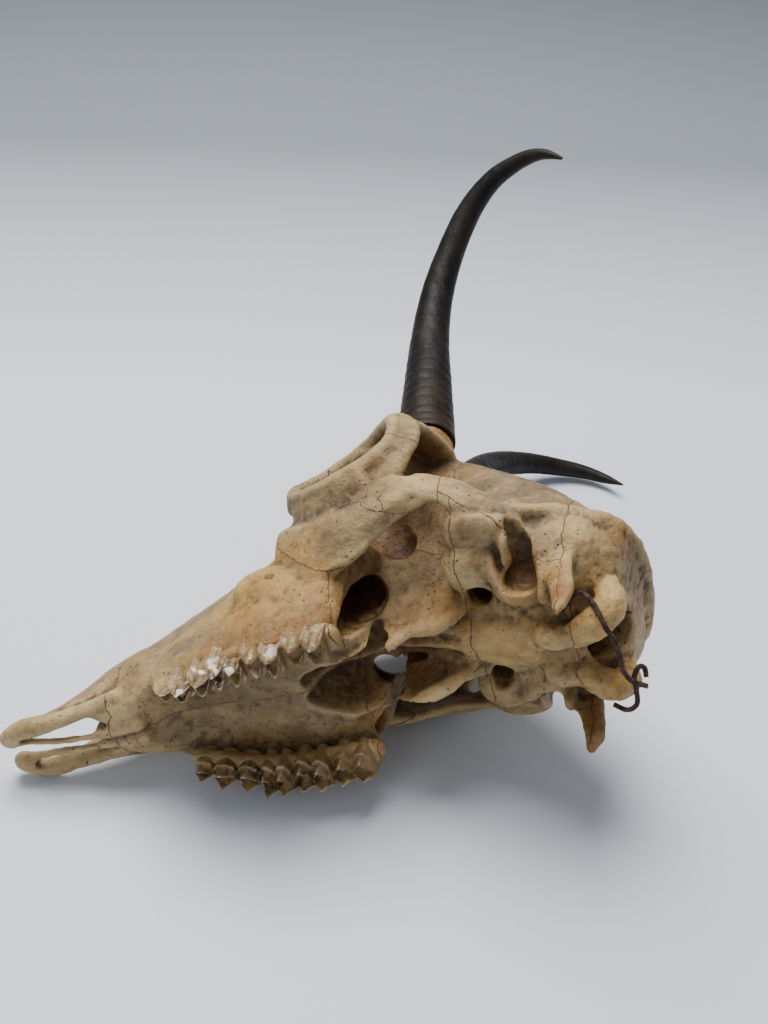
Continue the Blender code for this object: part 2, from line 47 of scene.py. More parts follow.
# The skull is modelled in its own axes, in millimetres: +x snout, +y the animal's left, +z crown
mm = 0.001
bothSides = (("Left", 1), ("Right", -1))
pose = {"roll": 84.1, "dip": 16.6, "turn": 166.9}  # degrees that lay it on its right side, as the CAD lies


def turnMatrix():
    roll = Matrix.Rotation(math.radians(pose["roll"]), 3, "X")
    dip = Matrix.Rotation(math.radians(pose["dip"]), 3, "Y")
    turn = Matrix.Rotation(math.radians(pose["turn"]), 3, "Z")
    return turn @ dip @ roll


# Shape tools


def smoothRows(rows, steps):  # Catmull-Rom curve through rows of numbers
    rows = np.array(rows, float)
    out = []
    for i in range(len(rows) - 1):
        before, here = rows[max(i - 1, 0)], rows[i]
        there, after = rows[i + 1], rows[min(i + 2, len(rows) - 1)]
        for t in np.arange(steps) / steps:
            bend = (2 * before - 5 * here + 4 * there - after) * t * t
            bend = bend + (3 * here - before - 3 * there + after) * t ** 3
            out.append(0.5 * (2 * here + (there - before) * t + bend))
    out.append(rows[-1])
    return np.array(out)


def addRings(bm, rings):  # closed body through rings of points
    rows = [[bm.verts.new(Vector(point) * mm) for point in ring] for ring in rings]
    count = len(rows[0])
    for first, second in zip(rows, rows[1:]):
        for i in range(count):
            j = (i + 1) % count
            bm.faces.new((first[i], first[j], second[j], second[i]))
    bm.faces.new(rows[0][::-1])
    bm.faces.new(rows[-1])


def addBall(bm, centre, radii, turn=(0, 0, 0)):
    spin = Euler([math.radians(angle) for angle in turn]).to_matrix().to_4x4()
    size = Matrix.Diagonal((radii[0] * mm, radii[1] * mm, radii[2] * mm, 1))
    place = Matrix.Translation(Vector(centre) * mm)
    bmesh.ops.create_icosphere(bm, subdivisions=4, radius=1, matrix=place @ spin @ size)


def addBar(bm, points, wide, thick=None, look=(0, 0, 1), power=2.0, sides=20, steps=7):
    count = len(points)
    wide = np.broadcast_to(np.array(wide, float), (count,))
    thick = wide if thick is None else np.broadcast_to(np.array(thick, float), (count,))
    looks = np.broadcast_to(np.array(look, float), (count, 3))
    rows = smoothRows(np.column_stack([np.array(points, float), wide, thick, looks]), steps)
    along = np.gradient(rows[:, :3], axis=0)
    along /= np.linalg.norm(along, axis=1)[:, None]
    up = rows[:, 5:8] - along * (rows[:, 5:8] * along).sum(1)[:, None]
    up /= np.linalg.norm(up, axis=1)[:, None]
    side = np.cross(up, along)
    angles = np.arange(sides) * 2 * math.pi / sides
    across = np.sign(np.cos(angles)) * np.abs(np.cos(angles)) ** (2 / power)
    over = np.sign(np.sin(angles)) * np.abs(np.sin(angles)) ** (2 / power)

    def ring(i, size, shift):
        middle = rows[i, :3] + along[i] * shift
        return middle + size * (np.outer(across, side[i] * rows[i, 3]) + np.outer(over, up[i] * rows[i, 4]))

    ends = (0.15, 0.5, 0.8, 0.95)
    start, stop = min(rows[0, 3:5]), min(rows[-1, 3:5])
    rings = [ring(0, size, -start * math.sqrt(1 - size * size)) for size in ends]
    rings += [ring(i, 1, 0) for i in range(len(rows))]
    rings += [ring(-1, size, stop * math.sqrt(1 - size * size)) for size in reversed(ends)]
    addRings(bm, rings)


def addSections(bm, sections, steps=8, around=6):  # closed body through half sections, mirrored
    loops = []
    for x, half in sections:
        whole = [(x, y, z) for y, z in half] + [(x, -y, z) for y, z in half[-2:0:-1]]
        closed = smoothRows([whole[-1]] + whole + [whole[0], whole[1]], around)
        loops.append(closed[around:around * (len(whole) + 1)])
    flat = np.array(loops).reshape(len(loops), -1)
    addRings(bm, smoothRows(flat, steps).reshape(-1, len(loops[0]), 3))


def flip(points, side):
    return [(x, y * side, z) for x, y, z in points]


def addForms(bm, forms, sides=(1, -1)):  # bars and balls of a dictionary, on both sides of the head
    for form in forms.values():
        for side in sides:
            if "ball" in form:
                x, y, z = form.get("turn", (0, 0, 0))
                addBall(bm, flip([form["ball"]], side)[0], form["size"], (x * side, y, z * side))
                continue
            look = np.array(form.get("look", (0, 0, 1)), float) * (1, side, 1)
            path, power = flip(form["path"], side), form.get("power", 2.0)
            addBar(bm, path, form["wide"], form.get("thick"), look, power)


def asObject(bm, name):
    bmesh.ops.recalc_face_normals(bm, faces=bm.faces)
    mesh = bpy.data.meshes.new(name)
    bm.to_mesh(mesh)
    bm.free()
    item = bpy.data.objects.new(name, mesh)
    bpy.context.scene.collection.objects.link(item)
    return item


def applyModifiers(item):
    graph = bpy.context.evaluated_depsgraph_get()
    mesh = bpy.data.meshes.new_from_object(item.evaluated_get(graph))
    item.modifiers.clear()
    item.data = mesh


def melt(item, voxel, rounds):  # fuse the shapes on a grid and soften the joins
    remesh = item.modifiers.new("melt", "REMESH")
    remesh.mode = "VOXEL"
    remesh.voxel_size = voxel * mm
    soften = item.modifiers.new("soften", "SMOOTH")
    soften.iterations = rounds
    applyModifiers(item)


def combine(item, tool, operation):  # Boolean of two closed bodies, which uses up the second
    change = item.modifiers.new("change", "BOOLEAN")
    change.operation = operation
    change.solver = "MANIFOLD"
    change.object = tool
    applyModifiers(item)
    bpy.data.objects.remove(tool)


def coords(item):
    flat = np.empty(len(item.data.vertices) * 3)
    item.data.vertices.foreach_get("co", flat)
    return flat.reshape(-1, 3) / mm


def setCoords(item, points):
    item.data.vertices.foreach_set("co", (points * mm).ravel())
    item.data.update()


def normals(item):
    flat = np.empty(len(item.data.vertices) * 3)
    item.data.vertex_normals.foreach_get("vector", flat)
    return flat.reshape(-1, 3)


def edges(item):
    flat = np.empty(len(item.data.edges) * 2, int)
    item.data.edges.foreach_get("vertices", flat)
    return flat.reshape(-1, 2)


def spread(values, links, rounds):  # averages a value with its neighbours' along the edges
    values = np.array(values, float)
    columns = values.reshape(len(values), -1)
    share = np.bincount(links.ravel(), minlength=len(values)).clip(1)
    for _ in range(rounds):
        for k in range(columns.shape[1]):
            total = np.bincount(links[:, 0], columns[links[:, 1], k], len(values))
            total += np.bincount(links[:, 1], columns[links[:, 0], k], len(values))
            columns[:, k] = 0.5 * columns[:, k] + 0.5 * total / share
    return columns.reshape(values.shape)


def sunken(item, rounds):  # how far each point lies below its smoothed surroundings, mm
    points = coords(item)
    return ((spread(points, edges(item), rounds) - points) * normals(item)).sum(1)


def paint(item, name, values):  # a number for each point, which a material or a tree reads by name
    layer = item.data.attributes.get(name) or item.data.attributes.new(name, "FLOAT", "POINT")
    layer.data.foreach_set("value", np.asarray(values, np.float32))


def noiseAt(points, size, seed):  # waves of about a size in mm, from -1 to 1, another pattern for each seed
    shift = Vector((seed * 17.3, seed * 5.1, seed * 9.7))
    return np.array([noise.fractal(Vector(p) / size + shift, 1.0, 2.0, 3) for p in points])


# Bone

bone = {
    "grain": 0.72,       # mm, grid of the finished bone
    "bulkGrain": 1.9,    # mm, grid of the broad forms
    "bulkRounds": 12,    # smoothing rounds of the broad forms
    "softness": 7.8,     # smoothing rounds of the finished bone, on a grid of 1 mm
    "sutureGap": 0.1,    # mm, hairline between neighbouring bones
    "lumps": 0.3,        # mm, how far the surface wanders
    "lumpSize": 7,       # mm
    "pits": 0.12,        # mm, fine roughness
    "rearPits": 0.16,    # mm, what the rear has on top of it
    "rearFrom": 30,      # mm, x from which it grows towards the rear
    "pitSize": 2.6,      # mm
    "coreTop": 0.6,      # mm, from the sheath's rim down to the visible top of the bone core
}

faceSections = (
    (157, ((0, 19), (5, 18), (9, 12), (10.5, 2), (9.5, -6), (6, -8), (0, -8))),
    (145, ((0, 27), (6.5, 26), (11, 20), (13, 8), (12, -4), (7, -6), (0, -5))),
    (132, ((0, 37), (7.5, 36), (13, 31), (17, 16), (18.5, -1), (13, 1), (0, 3))),
    (118, ((0, 49), (9, 48), (16.5, 40), (23, 22), (23, -1), (17, 3), (0, 5.5))),
    (104, ((0, 61), (11, 60), (19, 52), (28, 27), (28.5, 1.5), (20, 5), (0, 7))),
    (92, ((0, 72), (14, 71), (24, 62), (31, 32), (30, 3.5), (21, 7), (0, 9))),
    (81, ((0, 82), (20, 81), (30, 70), (33, 38), (28.5, 7), (20, 9.5), (0, 11))),
    (73, ((0, 87), (21, 86), (31, 74), (30, 48), (18, 20), (13, 15), (0, 17))),
)
braincaseSections = (
    (76, ((0, 88), (20, 87), (27, 77), (18, 58), (12, 42), (7, 31), (0, 29))),
    (66, ((0, 91), (21, 89), (27, 76), (19, 58), (13, 42), (8, 31), (0, 28))),
    (54, ((0, 91), (21, 87), (26, 74), (24, 58), (17, 43), (10, 31), (0, 27))),
    (42, ((0, 88), (19, 83), (28, 70), (30, 56), (25, 42), (15, 31), (0, 25))),
    (28, ((0, 81), (18, 76), (29, 62), (32, 48), (30, 36), (18, 28), (0, 24))),
    (14, ((0, 70), (16, 66), (27, 55), (31, 43), (29, 32), (16, 26), (0, 24))),
    (4, ((0, 60), (12, 57), (23, 50), (26, 41), (22, 33), (10, 29), (0, 30))),
    (-1, ((0, 54), (10, 52), (19, 46), (20, 40), (14, 35), (6, 33), (0, 33))),
)
broadForms = {
    "pedicle": {"path": ((66, 12, 82), (67, 19, 90), (67.5, 22.5, 96)), "wide": (12, 11, 10)},
    "browRoof": {"ball": (77, 26, 79), "size": (14, 12, 7), "turn": (-20, -12, 0)},
    "jawSwelling": {"ball": (98, 28, 24), "size": (14, 6, 8)},
    "mastoid": {"ball": (13, 27, 39), "size": (8, 6, 9)},
}
orbitForms = {
    "rim": {"path": ((97, 38, 54), (99.5, 33.5, 62), (96, 30, 71), (88, 31, 77.5), (79, 36, 80.5),
                     (71, 43.5, 78), (65.5, 50, 71), (64.5, 50, 61), (70, 49, 53.5), (81, 45.5, 49.5),
                     (91, 40.5, 51), (97, 37, 54)), "wide": 2.4},
    "frontWall": {"path": ((96, 33, 53), (98, 29, 60), (96, 26, 68), (90, 26, 75)), "wide": 5, "thick": 3,
                  "look": (-0.6, 1, 0)},
    "rearBar": {"path": ((64.5, 44.5, 49), (62.5, 46.5, 55), (60.5, 48, 62), (61, 48.5, 69), (65, 48.5, 75)),
                "wide": (5, 4.2, 4.2, 4.2, 3.4), "thick": (2.4, 2.3, 2.2, 2.1, 2), "look": (-0.35, 1, 0.1)},
    "rearTop": {"path": ((64, 48.5, 70), (62.5, 44, 75.5), (62, 36, 81), (62, 26, 85)),
                "wide": (4.6, 5.4, 7, 9), "thick": (2.2, 2.6, 3, 4), "look": (-0.2, 0.7, 0.8)},
}
cheekForms = {
    "body": {"path": ((98, 28.5, 39), (91, 32.5, 40), (80, 38, 41), (69, 43, 44.5), (58, 45.5, 44),
                      (48, 44, 42.5)),
             "wide": (8, 8, 8, 6.5, 3.8, 2.2), "thick": (3, 3, 2.8, 2.4, 2.2, 1.8), "look": (0.1, 1, -0.3),
             "power": 2.5},
    "ledge": {"path": ((95, 35.5, 50.5), (84, 41, 47.5), (72, 47, 49.5)), "wide": 4.5, "thick": 2.6,
              "look": (0, 1, -0.5)},
    "lowerEdge": {"path": ((110, 25, 22), (97, 28.5, 24.5), (86, 31, 25), (75, 34, 27), (67, 37.5, 33.5),
                           (60, 40.5, 38.5), (52, 43, 41)), "wide": (2, 2.3, 2.1, 1.9, 1.8, 1.8, 1.8)},
    "sheet": {"path": ((98, 30, 34), (84, 35, 33.5), (70, 40.5, 38), (59, 44, 41.5)),
              "wide": (10, 9, 5.5, 2.6), "thick": 2.6, "look": (0.1, 1, -0.45), "power": 3},
}
templeForms = {
    "arm": {"path": ((31, 32, 38), (36, 37.5, 40.5), (45, 43, 43), (56, 45.5, 46.5)), "wide": (6, 6, 5.5, 4),
            "thick": (3.6, 3, 2.4, 1.8), "look": (-0.45, 1, -0.2)},
    "socket": {"path": ((29, 30, 37.5), (36, 33, 35), (44, 34, 35.5)), "wide": (7, 8.5, 7), "thick": 3.6},
    "socketHead": {"ball": (41, 24, 33), "size": (9, 9, 7)},
    "socketLip": {"path": ((30, 27, 31), (30, 34, 32.5)), "wide": (4, 3), "thick": 1.5, "look": (1, 0, 0)},
    "crest": {"path": ((36, 37, 43.5), (26, 35, 43), (17, 32, 45), (6, 27, 46), (0, 20, 48), (-2.5, 9, 50),
                       (-3, 0, 51)), "wide": (2.2, 2.2, 2.4, 2.6, 2.8, 3, 3)},
}
palateForms = {
    "front": {"path": ((86, 11, 14), (79, 10.5, 17), (72, 10, 19)), "wide": (6, 8, 8),
              "thick": (1.8, 1.5, 1.4), "look": (0, 1, 0), "power": 3},
    "ridge": {"path": ((66, 9.5, 16), (61, 10, 21.5), (53.5, 10.5, 22.5), (48, 12, 26), (44, 14, 29.5)),
              "wide": (2.4, 2.3, 2.4, 2.4, 2.4)},
    "web": {"path": ((67, 10.5, 21), (60, 12, 27), (53, 13, 29), (46, 14.5, 33)), "wide": (4, 6.5, 7, 6),
            "thick": 1.6, "look": (0, 1, -0.3), "power": 3},
    "wall": {"path": ((80, 13, 26), (70, 14, 36), (60, 15, 42), (50, 16, 42)), "wide": (5, 12, 15, 13),
             "thick": (1.6, 1.8, 2.4, 3), "look": (0.2, 1, -0.3), "power": 3},
}
rightForms = {
    "rearPlate": {"path": ((74, 10, 20), (66, 9.5, 21), (58.5, 8.8, 20.5), (52, 8.4, 27), (45, 8, 33.5)),
                  "wide": (6.5, 8.5, 9.5, 7.5, 4.5), "thick": 1.4, "look": (0, 1, 0), "power": 3},
}
baseForms = {
    "condyle": {"path": ((13, 7.5, 20.5), (7.5, 12, 19.5), (2.5, 15.5, 23.5), (4, 15.5, 30)),
                "wide": (4, 4.8, 4.8, 4), "thick": (4, 4.4, 4.4, 4)},
    "process": {"path": ((17, 26.5, 37), (15, 27.5, 26), (13, 28, 15), (14, 28.2, 8.5)),
                "wide": (5.5, 4.6, 3.6, 1.5), "thick": (2.4, 2, 1.8, 1.3), "look": (0.3, 1, 0)},
    "earBone": {"ball": (27, 19, 30), "size": (9, 6.5, 6.5)},
    "earFront": {"path": ((35, 28, 33), (33.5, 23, 28), (30, 19, 24)), "wide": (4, 4, 3), "thick": 1.6,
                 "look": (1, 0, 0)},
    "earRear": {"path": ((21, 24, 34), (20, 23.5, 26), (20, 21, 21)), "wide": (4.5, 4.5, 3), "thick": 1.7,
                "look": (1, 0, 0)},
    "baseKnob": {"ball": (18.5, 7.5, 20), "size": (6.5, 3.6, 4.4)},
}
gumForms = {
    "ridge": {"path": ((131, 15.5, -2), (120, 18, -2), (107, 22.3, -0.6), (95, 23.4, 1.8), (83, 24.2, 5),
                       (77, 24.4, 7)),
              "wide": (2.6, 3.6, 5.0, 5.4, 5.2, 4.2), "thick": 2.6, "power": 2.6},
}
snoutForms = {
    "body": {"path": ((184, 4.6, -11.5), (177, 8.2, -11), (168, 9, -8.5), (158, 9.6, -5), (148, 11.5, -1)),
             "wide": (3.6, 4.2, 3, 2.5, 2.8), "thick": (2.8, 3, 2.6, 2.3, 2.4)},
    "rise": {"path": ((171, 8.8, -7), (162, 9.6, -1), (152, 11, 8), (143, 11.8, 16)),
             "wide": (2.4, 3.6, 5, 4), "thick": 1.4, "look": (0, 1, 0.15)},
    "middle": {"path": ((180, 3.4, -11), (168, 2.2, -10), (152, 2.2, -7.5), (142, 3, -4.5)),
               "wide": (1.7, 1.4, 1.5, 2.5), "thick": (1.5, 1.4, 1.4, 1.6)},
}
middleForms = {
    "occiput": {"path": ((3, -22, 43), (1, 0, 45), (3, 22, 43)), "wide": (8, 9, 8), "thick": (4, 4, 4),
                "look": (1, 0, 0.2)},
}
stemForms = {
    "base": {"path": ((72, 0, 30), (56, 0, 29), (44, 0, 27.5), (30, 0, 25), (18, 0, 24), (12, 0, 25)),
             "wide": (5, 6.5, 8, 9.5, 10, 9), "thick": (3, 4, 4.5, 4.5, 4.5, 3.5)},
    "vomer": {"path": ((100, 0, 12), (86, 0, 15), (72, 0, 22), (62, 0, 26)), "wide": (3, 4, 4, 3),
              "thick": 1.4, "look": (0, 1, 0)},
}
hollowForms = {
    "orbit": {"path": ((88, 58, 71), (83, 41.5, 64.5), (76, 29, 58), (68, 19, 51)),
              "wide": (14, 13.6, 12, 6)},
    "jawSpace": {"path": ((66, 33, 60), (65, 28, 46), (68, 25, 30), (70, 22, 15)), "wide": (9, 11, 10, 7),
                 "thick": (10, 9, 8.5, 7)},
    "chamber": {"path": ((74, 20.5, 15), (75.5, 17.5, 25), (79, 14.5, 35), (86, 14, 44)),
                "wide": (6.5, 8, 9, 6), "thick": (4, 5, 6, 5), "look": (0, 1, 0.4)},
    "sinus": {"path": ((82, 17.5, 34), (94, 18.5, 30), (104, 17, 27), (112, 14, 25)), "wide": (9, 10, 9, 6),
              "thick": (5, 4.8, 4.2, 3), "look": (0, 1, 0)},
    "ovalHole": {"path": ((40, 18, 22), (40, 16.5, 30), (39.5, 15, 37)), "wide": 3.4, "thick": 4.4},
    "earPassage": {"path": ((27, 36, 36), (26, 25, 33)), "wide": 3.4},
    "earChamber": {"path": ((26.5, 24.5, 22), (26.5, 22, 31)), "wide": 4, "thick": 5, "look": (1, 0, 0)},
    "choana": {"path": ((88, 4, 6), (80, 5.5, 14), (70, 5.5, 20), (60, 4.8, 22), (50, 4, 23)),
               "wide": (4.2, 5.6, 5.6, 4.8, 3.5), "thick": (8, 13, 13, 8, 3)},
    "snoutSlit": {"path": ((178.5, 5.6, -11), (168, 4.9, -9), (153, 5.0, -5)), "wide": 1.35,
                  "thick": (6, 7, 7)},
    "nose": {"path": ((175, 4.2, 7), (158, 4.2, 6.5), (140, 6, 15), (118, 8.5, 27), (98, 9.5, 39)),
             "wide": (5, 3.8, 5.5, 7.5, 8.5), "thick": (13, 9, 12, 15.5, 18)},
}
middleHollows = {
    "foramen": {"path": ((-14, 0, 24), (0, 0, 26), (10, 0, 31), (26, 0, 38)), "wide": (9, 9.5, 9, 8),
                "thick": (9, 9, 8, 8)},
    "brain": {"ball": (34, 0, 56), "size": (24.5, 26, 21), "turn": (0, -35, 0)},
    "brokenPlate": {"path": ((70, -3, 18), (73, -10, 26), (79, -20, 40), (85, -33, 52)), "wide": (3, 3, 4, 5),
                    "thick": (5, 5, 6, 7), "look": (0.8, 0.6, 0)},
}


def makeBone():
    bm = bmesh.new()
    addSections(bm, faceSections)
    addSections(bm, braincaseSections)
    addForms(bm, broadForms)
    addForms(bm, middleForms, (1,))
    bulk = asObject(bm, "bulk")
    melt(bulk, bone["bulkGrain"], bone["bulkRounds"])
    bm = bmesh.new()
    bm.from_mesh(bulk.data)
    bpy.data.objects.remove(bulk)
    for forms in (orbitForms, cheekForms, templeForms, palateForms, baseForms, gumForms, snoutForms):
        addForms(bm, forms)
    addForms(bm, stemForms, (1,))
    addForms(bm, rightForms, (-1,))
    whole = asObject(bm, "bone")
    rounds = round(bone["softness"] / bone["grain"] ** 2)
    melt(whole, bone["grain"], rounds)
    bm = bmesh.new()
    addForms(bm, hollowForms)
    addForms(bm, middleHollows, (1,))
    hollow = asObject(bm, "hollows")
    melt(hollow, bone["grain"], rounds)
    combine(whole, hollow, "DIFFERENCE")
    melt(whole, bone["grain"], rounds // 2)
    keepLargest(whole)
    return whole


def keepLargest(item):  # only the largest closed surface stays
    bm = bmesh.new()
    bm.from_mesh(item.data)
    bm.verts.ensure_lookup_table()
    group = np.full(len(bm.verts), -1)
    sizes = []
    for vert in bm.verts:
        if group[vert.index] >= 0:
            continue
        group[vert.index] = len(sizes)
        front, count = [vert], 0
        while front:
            here = front.pop()
            count += 1
            for edge in here.link_edges:
                other = edge.other_vert(here)
                if group[other.index] < 0:
                    group[other.index] = len(sizes)
                    front.append(other)
        sizes.append(count)
    spare = [vert for vert in bm.verts if group[vert.index] != int(np.argmax(sizes))]
    bmesh.ops.delete(bm, geom=spare, context="VERTS")
    bm.to_mesh(item.data)
    bm.free()


def roughen(item):  # the surface wanders a little, more on the rough rear and base
    points, ways = coords(item), normals(item)
    rear = np.clip((bone["rearFrom"] - points[:, 0]) / bone["rearFrom"], 0, 1)
    lift = bone["lumps"] * noiseAt(points, bone["lumpSize"], 1)
    lift += (bone["pits"] + bone["rearPits"] * rear) * noiseAt(points, bone["pitSize"], 2)
    setCoords(item, points + ways * lift[:, None])


# Suture planes: a point, the way the front piece lies, and how far the line zigzags
sutures = {
    "snout": ((150, 0, 0), (1, 0, 0), 0.8),
    "midline": ((95, 0, 50), (0, 1, 0), 0.25),
    "horns": ((60, 0, 92.5), (0, 0, 1), 0.3),
    "face": ((76, 0, 5), (1, 0, -0.24), 0.9),
    "nasals": ((148, 0, 16), (0.62, 0, 0.78), 0.6),
    "occiput": ((14, 0, 30), (-1, 0, 0), 0.7),
    "base": ((40, 0, 38), (0.45, 0, -1), 0.7),
    "crown": ((52, 0, 90), (1, 0, 0), 1.2),
    "middleBase": ((44, 0, 30), (1, 0, 0), 0.6),
}


def sutureBlock(name, sign):  # a block whose face zigzags along a suture
    point, way, swing = sutures[name]
    way = Vector(way).normalized()
    turn = way.to_track_quat("Z", "Y").to_matrix()
    cells, reach, broad, fine = 240, 240, 5, 1.8  # steps, mm, and the lengths of the zigzag's waves, mm
    steps = np.linspace(-reach / 2, reach / 2, cells + 1)
    bm = bmesh.new()
    lower = []
    for u in steps:
        row = []
        for v in steps:
            zig = 2 * noise.noise(Vector((u / broad, v / broad, 3)))
            zig += noise.noise(Vector((u / fine, v / fine, 7)))
            local = Vector((u, v, swing * zig + sign * bone["sutureGap"] / 2))
            row.append(bm.verts.new((Vector(point) + turn @ local) * mm))
        lower.append(row)
    for first, second in zip(lower, lower[1:]):
        for i in range(cells):
            bm.faces.new((first[i], first[i + 1], second[i + 1], second[i]))
    rim = [edge for edge in bm.edges if len(edge.link_faces) == 1]
    made = bmesh.ops.extrude_edge_only(bm, edges=rim)["geom"]
    for vert in [item for item in made if isinstance(item, bmesh.types.BMVert)]:
        vert.co += way * reach * sign * mm
    top = [edge for edge in bm.edges if len(edge.link_faces) == 1]
    bmesh.ops.holes_fill(bm, edges=top, sides=0)
    return asObject(bm, "block")


def duplicate(item, name):
    twin = item.copy()
    twin.data = item.data.copy()
    twin.name = name
    bpy.context.scene.collection.objects.link(twin)
    return twin


def split(item, name):  # the pieces before and behind a suture
    front = duplicate(item, "front")
    combine(front, sutureBlock(name, 1), "INTERSECT")
    combine(item, sutureBlock(name, -1), "INTERSECT")
    return front, item


def carveBox(item, low, high):  # the bone inside a box, as a piece of its own
    taken = duplicate(item, "taken")
    for target, margin, operation in ((taken, 0, "INTERSECT"), (item, bone["sutureGap"], "DIFFERENCE")):
        bm = bmesh.new()
        size = [(b - a + 2 * margin) * mm for a, b in zip(low, high)]
        middle = [(a + b) / 2 * mm for a, b in zip(low, high)]
        bmesh.ops.create_cube(bm, size=1, matrix=Matrix.Translation(middle) @ Matrix.Diagonal((*size, 1)))
        combine(target, asObject(bm, "box"), operation)
    return taken


def flatBlock(point, way, reach=200):  # a block with its flat face at a point, which reaches along a way
    bm = bmesh.new()
    turn = way.to_track_quat("Z", "Y").to_matrix().to_4x4()
    place = Matrix.Translation((Vector(point) + way * reach / 2) * mm) @ turn
    bmesh.ops.create_cube(bm, size=reach * mm, matrix=place)
    return asObject(bm, "block")


def partBone(whole):
    pieces = {}
    front, rest = split(whole, "snout")
    pieces["premaxillaLeft"], pieces["premaxillaRight"] = split(front, "midline")
    for name, side in bothSides:
        low, high = sorted((33.5 * side, 70 * side))
        pieces["cheekbone" + name] = carveBox(rest, (47.5, low, 10), (99, high, 62))
    cores, rest = split(rest, "horns")
    pieces["hornCoreLeft"], pieces["hornCoreRight"] = split(cores, "midline")
    for name, side in bothSides:
        rim, nextPoint = (Vector((x, y * side, z)) for x, y, z in horn["axis"][:2])
        way = (nextPoint - rim).normalized()
        combine(pieces["hornCore" + name], flatBlock(rim - way * bone["coreTop"], way), "DIFFERENCE")
    face, skull = split(rest, "face")
    pieces["nasalBones"], jaw = split(face, "nasals")
    pieces["maxillaLeft"], pieces["maxillaRight"] = split(jaw, "midline")
    pieces["occipitalBone"], skull = split(skull, "occiput")
    lower, upper = split(skull, "base")
    pieces["frontalBone"], pieces["parietalBone"] = split(upper, "crown")
    pieces["sphenoidBone"], pieces["temporalBase"] = split(lower, "middleBase")
    return pieces


# Coloured regions of the old bone, some of the grey ones painted shade: centre, reach in mm and strength
stainsAndShade = {
    "rust": (
        ((112, 20, 0), 9, 0.8), ((100, 26, 2), 10, 0.9), ((86, 27, 5), 10, 1.0), ((74, 24, 12), 10, 0.9),
        ((112, -20, 0), 9, 0.8), ((100, -26, 2), 10, 0.9), ((86, -27, 5), 10, 1.0), ((74, -24, 12), 10, 1.0),
        ((14, 27, 16), 9, 0.9), ((14, -27, 14), 11, 1.0), ((8, 0, 24), 10, 0.6), ((24, 22, 28), 9, 0.7),
        ((4, 22, 44), 9, 0.6), ((48, 12, 29), 8, 0.6), ((62, 13, 24), 7, 0.7), ((62, -13, 24), 7, 0.7),
        ((67, 22, 96), 10, 0.9), ((67, -22, 96), 10, 0.9), ((76, 34, 40), 7, 0.5), ((70, 45, 52), 6, 0.4),
    ),
    "warm": (
        ((104, 27, 22), 18, 1.0), ((90, 32, 26), 14, 0.8), ((126, 19, 14), 16, 0.4), ((60, 22, 90), 18, 0.9),
        ((6, 14, 22), 9, 1.0), ((6, -14, 20), 9, 1.0), ((30, 6, 24), 14, 0.5), ((50, 6, 27), 12, 0.4),
    ),
    # grey: the bone's own grey tone on the braincase, painted shade on the cheek plate, inside the orbit and
    # above the facial crest
    "grey": (
        ((110, 6, 6), 26, 0.8), ((110, -8, 6), 26, 0.8), ((40, 22, 76), 28, 1.0), ((90, 34, 60), 20, 1.0),
        ((140, 13, 14), 16, 0.5), ((36, 34, 44), 13, 0.6), ((60, 24, 66), 22, 0.9), ((-2, 10, 50), 14, 0.5),
        ((128, 12, 26), 16, 0.8), ((80, 40, 37), 15, 0.9), ((64, 34, 40), 12, 0.7), ((24, 26, 60), 20, 0.8),
        ((76, 36, 66), 16, 1.0), ((34, 30, 66), 24, 1.0),
    ),
}


def regions(points, spots, seed):
    total = np.zeros(len(points))
    for centre, reach, strength in spots:
        gap = np.linalg.norm(points - centre, axis=1) / reach
        total = np.maximum(total, strength * np.clip(1.5 - gap, 0, 1) ** 0.8)
    return np.clip(total + 0.35 * total * noiseAt(points, 9, seed), 0, 1)


# settings of the groove and crumb masks, and of the open-space mask that paints shade into recesses
wearAndShade = {
    "rays": 40,            # rays by which a point looks for open space
    "start": 0.6,          # mm, how far off the surface they start
    "reach": 60,           # mm, how far they go
    "thinFaces": 16000,    # faces of the copy that they meet
    "thinRounds": 4,       # smoothing rounds of what they find, on the copy
    "skyRounds": 6,        # and on the bone
    "broadRounds": 14,     # smoothing rounds that show broad hollows
    "broadDepth": 1.6,     # how much of the groove mask a broad hollow of 1 mm makes
    "fineRounds": 3,       # smoothing rounds that show fine hollows
    "fineDepth": 3.0,      # how much of the groove mask a fine hollow of 1 mm makes
    "crumbPatch": 6,       # mm, size of the patches of earth
    "crumbsUpTo": 120,     # mm, x of the bare snout
}


def openSky(item):  # how much open space each point sees, from a thinned copy; the bone material paints shade into recesses from it
    thin = duplicate(item, "thin")
    less = thin.modifiers.new("less", "DECIMATE")
    less.ratio = min(1, wearAndShade["thinFaces"] / len(thin.data.polygons))
    applyModifiers(thin)
    points, ways = coords(thin), normals(thin)
    faces = [tuple(face.vertices) for face in thin.data.polygons]
    tree = BVHTree.FromPolygons([tuple(point) for point in points], faces)
    golden = math.pi * (3 - math.sqrt(5))
    fan = []
    for i in range(wearAndShade["rays"]):
        z = 1 - (i + 0.5) / wearAndShade["rays"]
        flat = math.sqrt(1 - z * z)
        fan.append(Vector((flat * math.cos(golden * i), flat * math.sin(golden * i), z)))
    seen = np.empty(len(points))
    for i, (point, way) in enumerate(zip(points, ways)):
        spin = Vector(way).to_track_quat("Z", "Y").to_matrix()
        start = Vector(point) + Vector(way) * wearAndShade["start"]
        free = [tree.ray_cast(start, spin @ ray, wearAndShade["reach"])[0] is None for ray in fan]
        seen[i] = sum(free) / wearAndShade["rays"]
    seen = spread(seen, edges(thin), wearAndShade["thinRounds"])
    out = np.array([seen[faces[tree.find_nearest(Vector(point))[2]][0]] for point in coords(item)])
    bpy.data.objects.remove(thin)
    return spread(out, edges(item), wearAndShade["skyRounds"])


